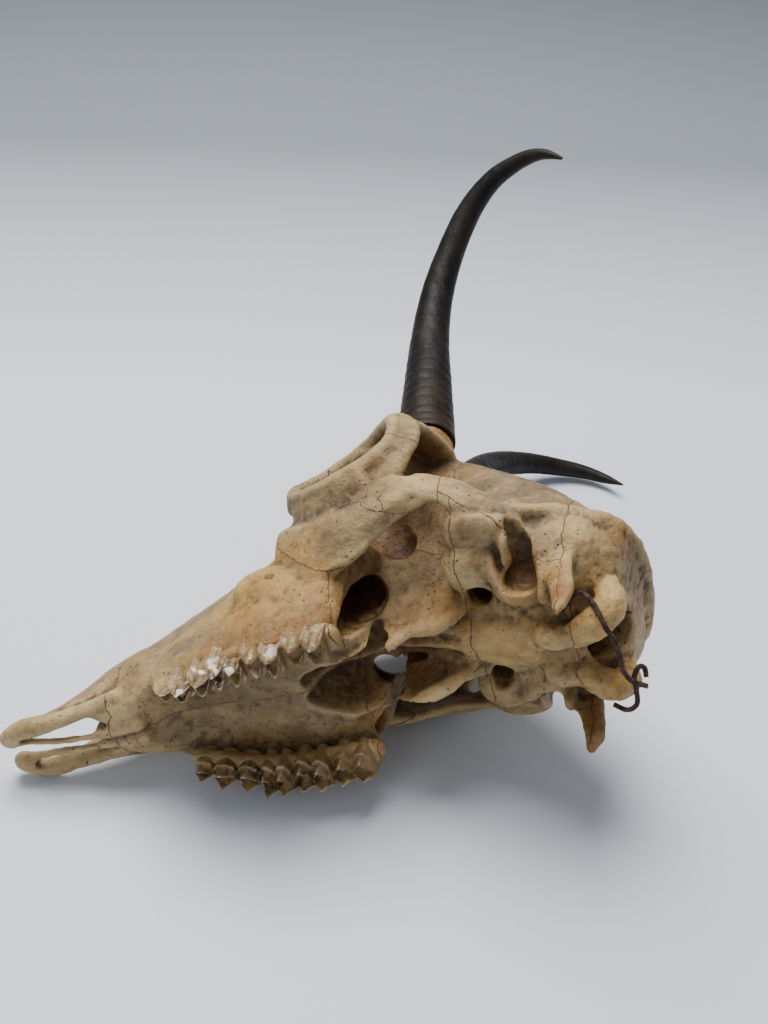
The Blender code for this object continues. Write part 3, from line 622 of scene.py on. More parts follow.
def ageAndShadeBone(item):  # the masks that the bone material and the crumbs read, among them the open-space mask from which the bone material paints shade
    points = coords(item)
    hollow, fine = sunken(item, wearAndShade["broadRounds"]), sunken(item, wearAndShade["fineRounds"])
    paint(item, "groove", np.clip(0.5 + wearAndShade["broadDepth"] * hollow + wearAndShade["fineDepth"] * fine, 0, 1))
    paint(item, "open", openSky(item))
    for i, (name, spots) in enumerate(stainsAndShade.items()):
        paint(item, name, regions(points, spots, i + 3))
    patches = np.clip(noiseAt(points, wearAndShade["crumbPatch"], 9) * 3 - 0.5, 0, 1)
    paint(item, "crumbs", patches * np.clip(hollow * 4, 0, 1) * (points[:, 0] < wearAndShade["crumbsUpTo"]))


# Cheek teeth

teeth = {
    "grain": 0.3,          # mm, grid of the finished crowns
    "rootDepth": 3.5,      # mm, how deep a crown starts inside the jaw
    "rightTaller": 1.3,    # crown height of the right row over that of the left
    "unevenness": 0.25,    # how much the crowns differ in height
    "valleyDepth": 2.2,    # how much of the groove mask a hollow of 1 mm makes
    # front x, rear x, cheek-side y, width, root z, crown height, lobes
    "row": (
        (131, 125, 18.6, 5.0, -2.4, 6.4, 1), (125, 118, 21.2, 6.5, -2.6, 6.8, 1),
        (118, 111.3, 24.2, 8.0, -2.2, 7.2, 1), (111.3, 101.3, 27.4, 10.0, -1.0, 7.4, 2),
        (101.3, 89.8, 29.0, 11.0, 1.0, 7.0, 2), (89.8, 77.5, 29.6, 10.5, 4.0, 6.2, 2),
    ),
}


def lobeHeight(u, v):  # share of the crown height: u along the jaw, v from tongue side to cheek side
    cheekCrest = math.exp(-((v - 0.86) / 0.13) ** 2) * (1 - 0.42 * abs(u) ** 1.2)
    tongueCrest = math.exp(-((v - 0.2 - 0.42 * u * u) / 0.12) ** 2) * (0.86 - 0.2 * abs(u))
    return max(cheekCrest, tongueCrest, 0.38 - 0.1 * math.exp(-((v - 0.5) / 0.2) ** 2))


def addLobe(bm, x, half, cheek, width, root, height, side, cells=12):
    grid = []
    for i in range(cells + 1):
        u = 2 * i / cells - 1
        row = []
        inner = cheek - width * (0.5 + 0.5 * math.sqrt(max(0, 1 - 0.72 * u * u)))
        outer = cheek - width * 0.1 * (1 - abs(u) ** 2.5) + width * 0.04 * math.exp(-(u / 0.25) ** 2)
        for j in range(cells + 1):
            v = j / cells
            pinch = 1 - 0.1 * (1 - v)
            row.append((x + half * u * pinch, inner + (outer - inner) * v, u, v))
        grid.append(row)

    def addLayer(level):  # the grid's points at a level that depends on u and v
        places = [[Vector((px, side * py, level(u, v))) for px, py, u, v in row] for row in grid]
        return [[bm.verts.new(point * mm) for point in row] for row in places]

    tops = addLayer(lambda u, v: root - height * lobeHeight(u, v))
    feet = addLayer(lambda u, v: root + teeth["rootDepth"])
    for layer in (tops, feet):
        for first, second in zip(layer, layer[1:]):
            for j in range(cells):
                bm.faces.new((first[j], first[j + 1], second[j + 1], second[j]))
    ring = [(i, 0) for i in range(cells)] + [(cells, j) for j in range(cells)]
    ring += [(i, cells) for i in range(cells, 0, -1)] + [(0, j) for j in range(cells, 0, -1)]
    for (a, b), (c, d) in zip(ring, ring[1:] + ring[:1]):
        bm.faces.new((tops[a][b], tops[c][d], feet[c][d], feet[a][b]))


def makeTeeth(side):  # one row of crowns, fused on a grid
    bm = bmesh.new()
    for front, rear, cheek, width, root, height, lobes in teeth["row"]:
        length = (front - rear) / lobes
        height *= teeth["rightTaller"] if side < 0 else 1
        for lobe in range(lobes):
            x = front - (lobe + 0.5) * length
            worn = 1 + teeth["unevenness"] * noise.noise(Vector((x, side * 3.0, 0.5)))
            addLobe(bm, x, length * 0.5, cheek, width, root, height * worn, side)
    rowOfTeeth = asObject(bm, "teeth")
    melt(rowOfTeeth, teeth["grain"], 3)
    points, ways = coords(rowOfTeeth), normals(rowOfTeeth)
    paint(rowOfTeeth, "groove", np.clip(0.5 + teeth["valleyDepth"] * sunken(rowOfTeeth, 8), 0, 1))
    paint(rowOfTeeth, "tip", np.clip((1.5 - points[:, 2]) / 8, 0, 1))
    paint(rowOfTeeth, "cheekSide", np.clip(ways[:, 1] * side * 2, 0, 1))
    return rowOfTeeth


# Geometry node tools


def newTree(name, inputs):  # a node tree that takes geometry and named inputs
    tree = bpy.data.node_groups.new(name, "GeometryNodeTree")
    tree.interface.new_socket(name="Geometry", in_out="INPUT", socket_type="NodeSocketGeometry")
    for label, kind, value in inputs:
        socket = tree.interface.new_socket(name=label, in_out="INPUT", socket_type=kind)
        if value is not None:
            socket.default_value = value
    tree.interface.new_socket(name="Geometry", in_out="OUTPUT", socket_type="NodeSocketGeometry")
    return tree, tree.nodes.new("NodeGroupInput").outputs, tree.nodes.new("NodeGroupOutput")


def add(tree, kind, sockets=(), **values):  # a node with its settings, and its inputs by name, number or link
    made = tree.nodes.new(kind)
    for key, value in values.items():
        setattr(made, key, value)
    for key, value in dict(sockets).items():
        if isinstance(value, bpy.types.NodeSocket):
            tree.links.new(value, made.inputs[key])
        else:
            made.inputs[key].default_value = value
    return made


def sums(tree, operation, first, second=0.0, clamp=False):
    return add(tree, "ShaderNodeMath", {0: first, 1: second}, operation=operation, use_clamp=clamp).outputs[0]


def times(tree, first, second, clamp=False):
    return sums(tree, "MULTIPLY", first, second, clamp)


def store(tree, geometry, name, value):  # keeps a number for each point under a name
    return add(tree, "GeometryNodeStoreNamedAttribute", {"Geometry": geometry, "Name": name, "Value": value},
               data_type="FLOAT", domain="POINT").outputs[0]


def stored(tree, name):
    return add(tree, "GeometryNodeInputNamedAttribute", {"Name": name}, data_type="FLOAT").outputs[0]


def putOut(tree, out, geometry, material):
    body = add(tree, "GeometryNodeRealizeInstances", {"Geometry": geometry}).outputs[0]
    body = add(tree, "GeometryNodeSetMaterial", {"Geometry": body, "Material": material}).outputs[0]
    tree.links.new(body, out.inputs[0])
    return tree


def grow(item, tree, settings):  # runs a tree on an object and keeps the mesh that it makes
    modifier = item.modifiers.new("grow", "NODES")
    modifier.node_group = tree
    for socket in tree.interface.items_tree:
        if socket.in_out == "INPUT" and socket.name in settings:
            modifier[socket.identifier] = settings[socket.name]
    item.update_tag()
    applyModifiers(item)
    return item


def sweepTree():  # a round body along a path, with growth rings that fade out and a surface that wanders
    tree, given, out = newTree("sweep", (
        ("Sides", "NodeSocketInt", 48), ("Steps", "NodeSocketInt", 200), ("Rings", "NodeSocketFloat", 0.0),
        ("Ring Reach", "NodeSocketFloat", 0.5), ("Ring Depth", "NodeSocketFloat", 0.0),
        ("Wander", "NodeSocketFloat", 0.0), ("Wander Scale", "NodeSocketFloat", 300.0),
        ("Material", "NodeSocketMaterial", None)))
    curve = add(tree, "GeometryNodeMeshToCurve", {"Mesh": given["Geometry"]}).outputs[0]
    curve = add(tree, "GeometryNodeResampleCurve", {"Curve": curve, "Count": given["Steps"]}).outputs[0]
    share = add(tree, "GeometryNodeSplineParameter").outputs["Factor"]
    curve = store(tree, curve, "length", share)
    circle = add(tree, "GeometryNodeCurvePrimitiveCircle", {"Resolution": given["Sides"], "Radius": 1.0})
    body = add(tree, "GeometryNodeCurveToMesh", {
        "Curve": curve, "Profile Curve": circle.outputs[0], "Scale": stored(tree, "thickness"),
        "Fill Caps": True}).outputs[0]
    along = stored(tree, "length")
    place = add(tree, "GeometryNodeInputPosition").outputs[0]
    closer, waver, width = 0.8, 0.9, 0.17  # rings lie closer at the base, waver and take a share of a step
    ripple = add(tree, "ShaderNodeTexNoise", {"Vector": place, "Scale": 110.0, "Detail": 2.0}).outputs[0]
    phase = sums(tree, "POWER", sums(tree, "DIVIDE", along, given["Ring Reach"]), closer)
    phase = sums(tree, "ADD", times(tree, phase, given["Rings"]), times(tree, ripple, waver))
    gap = sums(tree, "DIVIDE", sums(tree, "SUBTRACT", sums(tree, "FRACT", phase), 0.5), width)
    groove = sums(tree, "EXPONENT", times(tree, times(tree, gap, gap), -1.0))
    fade = sums(tree, "SUBTRACT", 1.0, sums(tree, "DIVIDE", along, given["Ring Reach"]), clamp=True)
    groove = times(tree, groove, fade)
    rough = add(tree, "ShaderNodeTexNoise", {"Vector": place, "Scale": given["Wander Scale"], "Detail": 3.0})
    lift = times(tree, sums(tree, "SUBTRACT", rough.outputs[0], 0.5), given["Wander"])
    lift = sums(tree, "SUBTRACT", lift, times(tree, groove, given["Ring Depth"]))
    way = add(tree, "GeometryNodeInputNormal").outputs[0]
    offset = add(tree, "ShaderNodeVectorMath", {0: way, "Scale": lift}, operation="SCALE").outputs[0]
    body = store(tree, body, "groove", groove)
    body = add(tree, "GeometryNodeSetPosition", {"Geometry": body, "Offset": offset}).outputs[0]
    return putOut(tree, out, body, given["Material"])


def scatterTree():  # small stones strewn over a surface where its mask is strong
    tree, given, out = newTree("scatter", (
        ("Mask", "NodeSocketString", "crumbs"), ("Density", "NodeSocketFloat", 1000.0),
        ("Seed", "NodeSocketInt", 1), ("Smallest", "NodeSocketFloat", 0.0001),
        ("Largest", "NodeSocketFloat", 0.0004), ("Material", "NodeSocketMaterial", None)))
    amount = times(tree, stored(tree, given["Mask"]), given["Density"])
    spots = add(tree, "GeometryNodeDistributePointsOnFaces", {"Mesh": given["Geometry"], "Density": amount,
                                                              "Seed": given["Seed"]})
    stone = add(tree, "GeometryNodeMeshIcoSphere", {"Radius": 1.0, "Subdivisions": 2}).outputs[0]
    small, large = given["Smallest"], given["Largest"]
    low = add(tree, "ShaderNodeCombineXYZ", {0: small, 1: small, 2: small}).outputs[0]
    high = add(tree, "ShaderNodeCombineXYZ", {0: large, 1: large, 2: small}).outputs[0]
    size = add(tree, "FunctionNodeRandomValue", {0: low, 1: high, "Seed": given["Seed"]},
               data_type="FLOAT_VECTOR").outputs[0]
    stones = add(tree, "GeometryNodeInstanceOnPoints", {"Points": spots.outputs[0], "Instance": stone,
                                                        "Rotation": spots.outputs["Rotation"], "Scale": size})
    return putOut(tree, out, stones.outputs[0], given["Material"])


trees = {"sweep": sweepTree(), "scatter": scatterTree()}
pathSteps = 12  # steps from one point of a path to the next


def pathObject(points, thickness):  # a line of points with a thickness, for the sweep to follow
    mesh = bpy.data.meshes.new("path")
    steps = [(i, i + 1) for i in range(len(points) - 1)]
    mesh.from_pydata([Vector(point) * mm for point in points], steps, [])
    item = bpy.data.objects.new("path", mesh)
    bpy.context.scene.collection.objects.link(item)
    paint(item, "thickness", np.asarray(thickness) * mm)
    return item


# Horns

horn = {
    "axis": ((66.8, 22.4, 96.5), (69.5, 27, 122), (71.6, 32.5, 146), (70.2, 40, 163), (66, 48, 176),
             (58.5, 58, 188), (49, 66, 194.5), (38, 71.2, 196), (28.5, 73.8, 193.2), (20.8, 73.4, 187.6)),
    "radius": (10.4, 8.8, 7.2, 6.2, 5.4, 4.7, 3.9, 3.1, 2.1, 0.5),
    "sides": 64,
    "steps": 300,
    "rings": 15.0,         # growth rings from the base up
    "ringDepth": 0.0003,   # m
    "ringReach": 0.5,      # share of the length that is ringed
    "wander": 0.0005,      # m, how far the surface wanders
    "wanderScale": 160.0,  # waves per metre
    "fit": 0.96,           # share of the radius that leaves room for the wandering
}


def makeHorn(side):
    rows = smoothRows(np.column_stack([np.array(horn["axis"], float), horn["radius"]]), pathSteps)
    rows[:, 1] *= side
    sheath = pathObject(rows[:, :3], rows[:, 3] * horn["fit"])
    return grow(sheath, trees["sweep"], {
        "Sides": horn["sides"], "Steps": horn["steps"], "Rings": horn["rings"],
        "Ring Reach": horn["ringReach"], "Ring Depth": horn["ringDepth"], "Wander": horn["wander"],
        "Wander Scale": horn["wanderScale"], "Material": hornFinish})


# Wire

wires = {
    "radius": 0.75,        # mm
    "sides": 16,
    "steps": 160,
    "wander": 0.00022,     # m, lumps of rust
    "wanderScale": 900.0,  # lumps per metre
    "over": ((16.7, 13.0, 24.6), (14.7, 15.5, 25.1), (12.5, 17.5, 26), (10, 18.8, 25), (7.3, 19.2, 21.6),
             (4.9, 18.4, 17), (3.2, 15.5, 14.2), (1.8, 12.5, 13.4), (1, 7, 13.1), (0.7, 1, 12.4),
             (-0.7, -4, 13.4), (-2.5, -6.5, 14.3), (-4.5, -8, 14.7)),
    "loop": ((6.2, -17.8, 17), (2.5, -18.4, 15.4), (-0.5, -16.2, 15.6), (-1, -11, 16.4), (-1, -6.5, 17),
             (-2.7, -4, 18.4), (-4, -5, 18.6), (-4.2, -7.2, 17.6)),
}


def makeWire(path):
    rows = smoothRows(path, pathSteps)
    line = pathObject(rows, np.full(len(rows), wires["radius"]))
    return grow(line, trees["sweep"], {
        "Sides": wires["sides"], "Steps": wires["steps"], "Wander": wires["wander"],
        "Wander Scale": wires["wanderScale"], "Material": wireFinish})


# Crumbs of dry earth that lie in the hollows

crumbs = {"density": 260000.0, "seed": 7, "smallest": 0.00009, "largest": 0.00034}  # per square metre; m


def makeCrumbs(mesh):  # turns a copy of the bone's mesh into the crumbs that lie on it
    bed = bpy.data.objects.new("crumbBed", mesh)
    bpy.context.scene.collection.objects.link(bed)
    return grow(bed, trees["scatter"], {
        "Mask": "crumbs", "Density": crumbs["density"], "Seed": crumbs["seed"],
        "Smallest": crumbs["smallest"], "Largest": crumbs["largest"], "Material": crumbFinish})


# Materials


def newGroup(name, **values):  # a pattern that takes a place and numbers, and puts out a mask
    group = bpy.data.node_groups.new(name, "ShaderNodeTree")
    group.interface.new_socket(name="Vector", in_out="INPUT", socket_type="NodeSocketVector")
    for label, value in values.items():
        socket = group.interface.new_socket(name=label, in_out="INPUT", socket_type="NodeSocketFloat")
        socket.default_value = value
    group.interface.new_socket(name="Mask", in_out="OUTPUT", socket_type="NodeSocketFloat")
    return group, group.nodes.new("NodeGroupInput").outputs, group.nodes.new("NodeGroupOutput").inputs


def mixColour(tree, factor, first, second):
    made = add(tree, "ShaderNodeMix", data_type="RGBA")
    for socket, value in ((made.inputs[0], factor), (made.inputs[6], first), (made.inputs[7], second)):
        if isinstance(value, tuple):
            socket.default_value = (*value, 1)
        else:
            tree.links.new(value, socket)
    return made.outputs[2]


def ramp(tree, value, low, high, start=0.0, stop=1.0):  # maps low..high to start..stop
    return add(tree, "ShaderNodeMapRange", {
        "Value": value, "From Min": low, "From Max": high, "To Min": start, "To Max": stop}).outputs[0]


def tint(tree, colour, mask, share, over):  # lays a colour over another where a mask is strong
    return mixColour(tree, times(tree, mask, share), colour, over)


def broken(tree, mask, pattern, least):  # thins a mask by a pattern, to a share of itself at the least
    return times(tree, mask, ramp(tree, pattern, 0.0, 1.0, least, 1.0))


def mottleGroup():  # patchy colour of old bone and horn
    group, given, out = newGroup("mottle", Scale=100.0, Contrast=2.0)
    cloud = add(group, "ShaderNodeTexNoise", {
        "Vector": given["Vector"], "Scale": given["Scale"], "Detail": 7.0, "Roughness": 0.62,
        "Distortion": 0.5})
    centred = sums(group, "SUBTRACT", cloud.outputs["Fac"], 0.5)
    mask = sums(group, "ADD", times(group, centred, given["Contrast"]), 0.5, clamp=True)
    group.links.new(mask, out["Mask"])
    return group


def poreGroup():  # small dark pits
    group, given, out = newGroup("pores", Scale=900.0, Size=0.2, Amount=0.5)
    cells = add(group, "ShaderNodeTexVoronoi", {"Vector": given["Vector"], "Scale": given["Scale"]})
    dot = times(group, sums(group, "SUBTRACT", given["Size"], cells.outputs["Distance"]), 8.0, clamp=True)
    part = add(group, "ShaderNodeSeparateColor", {0: cells.outputs["Color"]})
    some = sums(group, "LESS_THAN", part.outputs[0], given["Amount"])
    group.links.new(times(group, dot, some), out["Mask"])
    return group


def crackGroup():  # wavering hairlines, broken off by patches
    group, given, out = newGroup("cracks", Scale=60.0, Width=0.02, Share=0.5)
    sway = add(group, "ShaderNodeTexNoise", {"Vector": given["Vector"], "Scale": 150.0, "Detail": 4.0})
    swayed = add(group, "ShaderNodeVectorMath", {0: sway.outputs["Color"], "Scale": 0.012}, operation="SCALE")
    place = add(group, "ShaderNodeVectorMath", {0: given["Vector"], 1: swayed.outputs[0]}, operation="ADD")
    cells = add(group, "ShaderNodeTexVoronoi", {"Vector": place.outputs[0], "Scale": given["Scale"]},
                feature="DISTANCE_TO_EDGE")
    distance = sums(group, "DIVIDE", cells.outputs[0], given["Width"])
    line = sums(group, "SUBTRACT", 1.0, distance, clamp=True)
    patch = add(group, "ShaderNodeTexNoise", {"Vector": given["Vector"], "Scale": 45.0, "Detail": 2.0})
    kept = times(group, sums(group, "SUBTRACT", given["Share"], patch.outputs["Fac"]), 9.0, clamp=True)
    group.links.new(times(group, line, kept), out["Mask"])
    return group


groups = {"mottle": mottleGroup(), "pores": poreGroup(), "cracks": crackGroup()}


def useGroup(tree, name, vector, **values):
    made = add(tree, "ShaderNodeGroup", node_tree=groups[name])
    tree.links.new(vector, made.inputs["Vector"])
    for label, value in values.items():
        made.inputs[label].default_value = value
    return made.outputs["Mask"]


def newMaterial(name, roughness):
    made = bpy.data.materials.new(name)
    made.use_nodes = True
    tree = made.node_tree
    shader = tree.nodes["Principled BSDF"]
    shader.inputs["Roughness"].default_value = roughness
    return made, tree, shader, add(tree, "ShaderNodeTexCoord").outputs["Object"]


def attribute(tree, name):
    return add(tree, "ShaderNodeAttribute", attribute_name=name).outputs["Fac"]


def stretched(tree, place, scale):  # the same place with its axes stretched, for streaks
    return add(tree, "ShaderNodeMapping", {"Vector": place, "Scale": scale}).outputs[0]


def bumpFrom(tree, shader, height, distance, strength):
    made = add(tree, "ShaderNodeBump", {"Distance": distance, "Strength": strength, "Height": height})
    tree.links.new(made.outputs["Normal"], shader.inputs["Normal"])


boneLook = {
    "cream": (0.38, 0.235, 0.085), "chalk": (0.58, 0.43, 0.20), "warm": (0.60, 0.32, 0.055),
    "brown": (0.10, 0.045, 0.011), "grey": (0.11, 0.078, 0.04), "rust": (0.22, 0.088, 0.010),
    "dirt": (0.016, 0.007, 0.003), "deepShadeAmber": (0.14, 0.048, 0.004),
    "warmShare": 0.9, "brownShare": 0.75, "greyAndShadeShare": 0.9, "wornShare": 0.5, "paintedShadeShare": 0.8,
    "deepShadeShare": 0.9, "grimeShare": 0.85, "marksShare": 0.85,
}


def boneMaterial():
    made, tree, shader, place = newMaterial("agedBone", 0.55)
    look = boneLook
    streaky = stretched(tree, place, (0.45, 1.0, 1.3))
    cloud = useGroup(tree, "mottle", place, Scale=55.0, Contrast=3.0)
    colour = mixColour(tree, cloud, look["cream"], look["chalk"])
    colour = tint(tree, colour, attribute(tree, "warm"), look["warmShare"], look["warm"])
    streaks = useGroup(tree, "mottle", streaky, Scale=75.0, Contrast=4.5)
    speckle = useGroup(tree, "mottle", place, Scale=240.0, Contrast=3.0)
    colour = tint(tree, colour, broken(tree, streaks, speckle, 0.45), look["brownShare"], look["brown"])
    patches = useGroup(tree, "mottle", place, Scale=130.0, Contrast=4.0)
    # grey regions: partly the bone's own grey tone, partly painted shade on shaded plates and hollows
    grey = broken(tree, attribute(tree, "grey"), patches, 0.5)
    colour = tint(tree, colour, grey, look["greyAndShadeShare"], look["grey"])
    worn = broken(tree, ramp(tree, attribute(tree, "groove"), 0.34, 0.0), patches, 0.5)
    colour = tint(tree, colour, worn, look["wornShare"], look["chalk"])
    # painted shade: brown where the bone sees little open space, in recesses and under its forms
    paintedShade = broken(tree, ramp(tree, attribute(tree, "open"), 0.92, 0.35), speckle, 0.35)
    colour = tint(tree, colour, paintedShade, look["paintedShadeShare"], look["brown"])
    # deeper painted shade: amber in the most enclosed recesses
    deepPaintedShade = ramp(tree, attribute(tree, "open"), 0.45, 0.1)
    colour = tint(tree, colour, deepPaintedShade, look["deepShadeShare"], look["deepShadeAmber"])
    blotches = useGroup(tree, "mottle", place, Scale=170.0, Contrast=5.0)
    colour = mixColour(tree, broken(tree, attribute(tree, "rust"), blotches, 0.3), colour, look["rust"])
    grime = broken(tree, ramp(tree, attribute(tree, "groove"), 0.54, 0.9), speckle, 0.4)
    colour = tint(tree, colour, grime, look["grimeShare"], look["dirt"])
    cracks = useGroup(tree, "cracks", streaky, Scale=42.0, Width=0.009, Share=0.44)
    pores = useGroup(tree, "pores", place, Scale=620.0, Size=0.24, Amount=0.4)
    marks = sums(tree, "MAXIMUM", cracks, times(tree, pores, ramp(tree, patches, 0.2, 0.8)))
    colour = tint(tree, colour, marks, look["marksShare"], look["dirt"])
    tree.links.new(colour, shader.inputs["Base Color"])
    fine = useGroup(tree, "mottle", place, Scale=520.0, Contrast=1.6)
    height = sums(tree, "ADD", fine, times(tree, speckle, -0.6))
    height = sums(tree, "SUBTRACT", height, times(tree, marks, 1.5))
    bumpFrom(tree, shader, height, 0.0004, 0.9)
    tree.links.new(ramp(tree, fine, 0.0, 1.0, 0.42, 0.75), shader.inputs["Roughness"])
    shader.inputs["Subsurface Weight"].default_value = 0.04
    shader.inputs["Subsurface Radius"].default_value = (0.003, 0.0015, 0.0008)
    shader.inputs["Subsurface Scale"].default_value = 1.0
    return made


toothLook = {
    "tartar": (0.085, 0.045, 0.013), "yellow": (0.34, 0.22, 0.085), "enamel": (0.74, 0.66, 0.54),
    "crest": (0.62, 0.52, 0.38), "valley": (0.02, 0.009, 0.004), "root": (0.22, 0.135, 0.045),
}


def toothMaterial():
    made, tree, shader, place = newMaterial("stainedEnamel", 0.28)
    look = toothLook
    tartar = useGroup(tree, "mottle", place, Scale=230.0, Contrast=5.0)
    colour = mixColour(tree, tartar, look["tartar"], look["yellow"])
    clean = useGroup(tree, "mottle", place, Scale=150.0, Contrast=12.0)
    clean = times(tree, ramp(tree, clean, 0.97, 1.0), attribute(tree, "cheekSide"))
    cracks = useGroup(tree, "cracks", place, Scale=260.0, Width=0.05, Share=0.5)
    colour = mixColour(tree, clean, colour, look["enamel"])
    colour = tint(tree, colour, ramp(tree, attribute(tree, "groove"), 0.4, 0.15), 0.8, look["crest"])
    valley = sums(tree, "MAXIMUM", ramp(tree, attribute(tree, "groove"), 0.56, 0.85), cracks)
    colour = mixColour(tree, valley, colour, look["valley"])
    root = broken(tree, ramp(tree, attribute(tree, "tip"), 0.62, 0.3), tartar, 0.5)
    colour = mixColour(tree, root, colour, look["root"])
    tree.links.new(colour, shader.inputs["Base Color"])
    bumpFrom(tree, shader, useGroup(tree, "mottle", place, Scale=700.0, Contrast=2.0), 0.00025, 0.8)
    return made


hornLook = {
    "black": (0.0055, 0.005, 0.0048), "worn": (0.016, 0.012, 0.009), "base": (0.05, 0.026, 0.014),
    "tip": (0.02, 0.017, 0.01), "dust": (0.03, 0.018, 0.012),
}


def hornMaterial():
    made, tree, shader, place = newMaterial("blackHorn", 0.4)
    look = hornLook
    streaks = stretched(tree, place, (1.0, 0.5, 0.22))
    patches = useGroup(tree, "mottle", streaks, Scale=110.0, Contrast=4.0)
    colour = mixColour(tree, patches, look["black"], look["worn"])
    base = times(tree, ramp(tree, attribute(tree, "length"), 0.16, 0.0), patches)
    colour = tint(tree, colour, base, 0.8, look["base"])
    colour = tint(tree, colour, ramp(tree, attribute(tree, "length"), 0.8, 1.0), 0.5, look["tip"])
    colour = tint(tree, colour, attribute(tree, "groove"), 0.45, look["dust"])
    tree.links.new(colour, shader.inputs["Base Color"])
    fine = useGroup(tree, "mottle", streaks, Scale=420.0, Contrast=2.0)
    tree.links.new(ramp(tree, fine, 0.0, 1.0, 0.36, 0.62), shader.inputs["Roughness"])
    bumpFrom(tree, shader, fine, 0.0003, 0.6)
    shader.inputs["Specular IOR Level"].default_value = 0.16
    return made


wireLook = {"dark": (0.022, 0.013, 0.010), "rust": (0.085, 0.032, 0.014)}


def wireMaterial():
    made, tree, shader, place = newMaterial("rustyWire", 0.75)
    patches = useGroup(tree, "mottle", place, Scale=500.0, Contrast=5.0)
    colour = mixColour(tree, patches, wireLook["dark"], wireLook["rust"])
    tree.links.new(colour, shader.inputs["Base Color"])
    tree.links.new(ramp(tree, patches, 0.0, 1.0, 0.5, 0.0), shader.inputs["Metallic"])
    bumpFrom(tree, shader, useGroup(tree, "mottle", place, Scale=1500.0, Contrast=3.0), 0.0002, 0.9)
    return made


crumbLook = {"dark": (0.02, 0.011, 0.006), "light": (0.09, 0.05, 0.024)}


def crumbMaterial():
    made, tree, shader, place = newMaterial("dryEarth", 0.9)
    patches = useGroup(tree, "mottle", place, Scale=400.0, Contrast=4.0)
    colour = mixColour(tree, patches, crumbLook["dark"], crumbLook["light"])
    tree.links.new(colour, shader.inputs["Base Color"])
    return made


# All pieces together

extras = ("cheekTeethLeft", "cheekTeethRight", "earthCrumbs")  # pieces that are no node of the CAD


def nodeName(name):  # a piece's name in the CAD: hornCoreLeft is horn_core_left
    return "".join("_" + letter.lower() if letter.isupper() else letter for letter in name)


def settle(item, name, material, sharp=35):  # laid on the table, dressed and bound to the body
    item.name = name
    item.data.name = name
    item.data.transform(placeMatrix)
    item.data.materials.clear()
    item.data.materials.append(material)
    item.data.shade_smooth()
    item.data.set_sharp_from_angle(angle=math.radians(sharp))
    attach(item, "root")
    if name not in extras:
        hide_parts(nodeName(name))


boneFinish, hornFinish, enamelFinish = boneMaterial(), hornMaterial(), toothMaterial()
wireFinish, crumbFinish = wireMaterial(), crumbMaterial()
wholeBone = makeBone()
print("bone shaped:", len(wholeBone.data.polygons), "faces")
roughen(wholeBone)
ageAndShadeBone(wholeBone)
print("bone aged")
agedMesh = wholeBone.data.copy()
bonePieces = partBone(wholeBone)
print("bone parted:", len(bonePieces), "pieces")
crumbPiece = makeCrumbs(agedMesh)
hornPieces = {"hornSheath" + name: makeHorn(side) for name, side in bothSides}
print("horns and crumbs grown:", len(crumbPiece.data.polygons), "faces of crumbs")

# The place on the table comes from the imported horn, so the fine skull lies where the CAD lies
spin = turnMatrix()
turned = np.array([spin @ vert.co for vert in hornPieces["hornSheathLeft"].data.vertices])
placeMatrix = Matrix.Translation(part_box("horn_sheath_left")[0] - Vector(turned.min(0))) @ spin.to_4x4()

for name, item in bonePieces.items():
    settle(item, name, boneFinish)
for name, item in hornPieces.items():
    settle(item, name, hornFinish, 60)
for name, side in bothSides:
    settle(makeTeeth(side), "cheekTeeth" + name, enamelFinish)
settle(crumbPiece, "earthCrumbs", crumbFinish, 30)
settle(makeWire(wires["over"]), "wireOver", wireFinish)
settle(makeWire(wires["loop"]), "wireLoop", wireFinish)
print("pieces dressed")

# Floor, light and camera

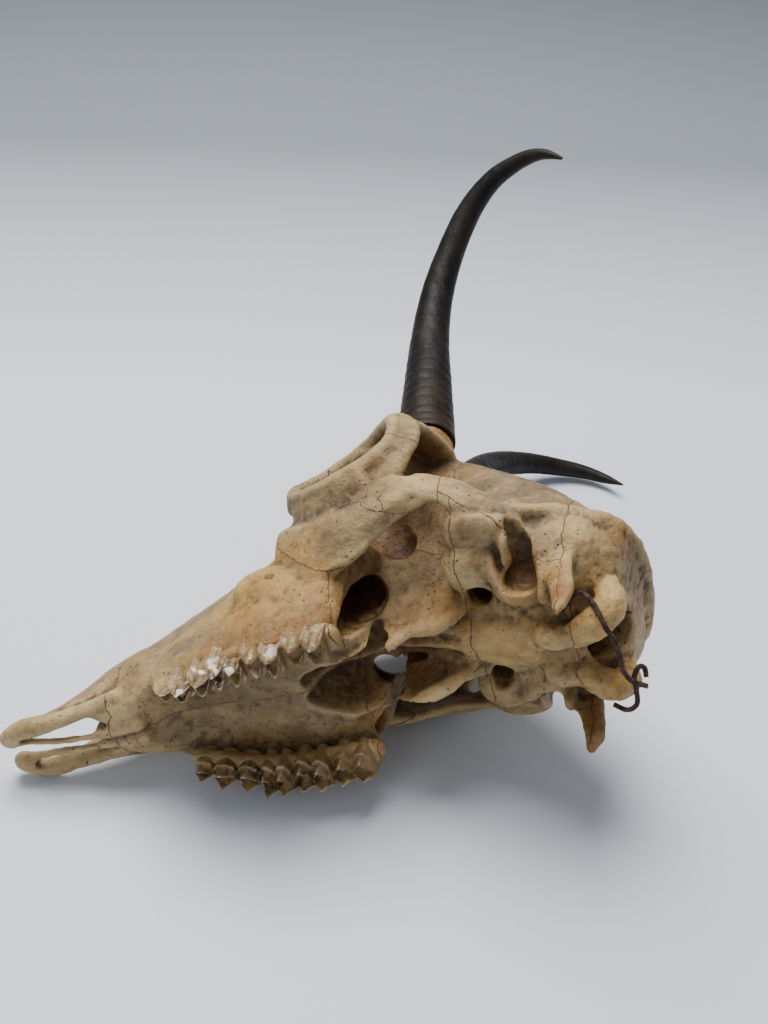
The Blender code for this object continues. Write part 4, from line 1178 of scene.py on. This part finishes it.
studio = {
    "near": (0.645, 0.69, 0.765), "far": (0.25, 0.275, 0.305),  # colours of the floor near the camera and far from it, darker away from the camera
    "fadeFrom": 0.16, "fadeTo": 0.50,  # m, y between which one becomes the other
    "tableReach": 3,  # m, from its middle to an edge
    "sky": (0.82, 0.86, 0.92), "skyStrength": 0.40,
    "lights": (  # name, place in m, W, colour
        ("overhead", (-0.12, 0.28, 1.05), 22.0, (1.0, 0.985, 0.96)),
        ("fill", (-0.6, -0.9, 0.7), 1.6, (0.93, 0.96, 1.0)),
    ),
    "lightSize": 0.8, "lightAim": (0, 0, 0.05),  # m
    "eye": (-0.0039, -0.3352, 0.2885), "aim": (0.0058, -0.0052, 0.0511), "roll": 2.83, "lens": 42.19,
}


def makeFloor():  # a pale table that darkens away from the camera
    bm = bmesh.new()
    bmesh.ops.create_grid(bm, x_segments=1, y_segments=1, size=studio["tableReach"])
    floor = asObject(bm, "floor")
    made, tree, shader, place = newMaterial("paleTable", 0.55)
    depth = add(tree, "ShaderNodeSeparateXYZ", {0: place}).outputs["Y"]
    fade = ramp(tree, depth, studio["fadeFrom"], studio["fadeTo"])
    tree.links.new(mixColour(tree, fade, studio["near"], studio["far"]), shader.inputs["Base Color"])
    floor.data.materials.append(made)


def makeLight(name, place, power, colour):
    light = bpy.data.lights.new(name, "AREA")
    light.shape = "DISK"
    light.size = studio["lightSize"]
    light.energy = power
    light.color = colour
    item = bpy.data.objects.new(name, light)
    item.location = place
    item.rotation_euler = (Vector(studio["lightAim"]) - Vector(place)).to_track_quat("-Z", "Y").to_euler()
    bpy.context.scene.collection.objects.link(item)


def makeCamera():
    lens = bpy.data.cameras.new("camera")
    lens.sensor_width = 36
    lens.lens = studio["lens"]
    lens.clip_start = 0.01
    item = bpy.data.objects.new("camera", lens)
    look = Vector(studio["aim"]) - Vector(studio["eye"])
    level = look.to_track_quat("-Z", "Y").to_matrix().to_4x4()
    tilt = Matrix.Rotation(math.radians(studio["roll"]), 4, "Z")
    item.matrix_world = Matrix.Translation(studio["eye"]) @ level @ tilt
    bpy.context.scene.collection.objects.link(item)
    bpy.context.scene.camera = item


makeFloor()
for name, place, power, colour in studio["lights"]:
    makeLight(name, place, power, colour)
world = bpy.data.worlds.new("studio")
world.use_nodes = True
sky = world.node_tree.nodes["Background"].inputs
sky["Color"].default_value = (*studio["sky"], 1)
sky["Strength"].default_value = studio["skyStrength"]
bpy.context.scene.world = world
makeCamera()
print("stage set")
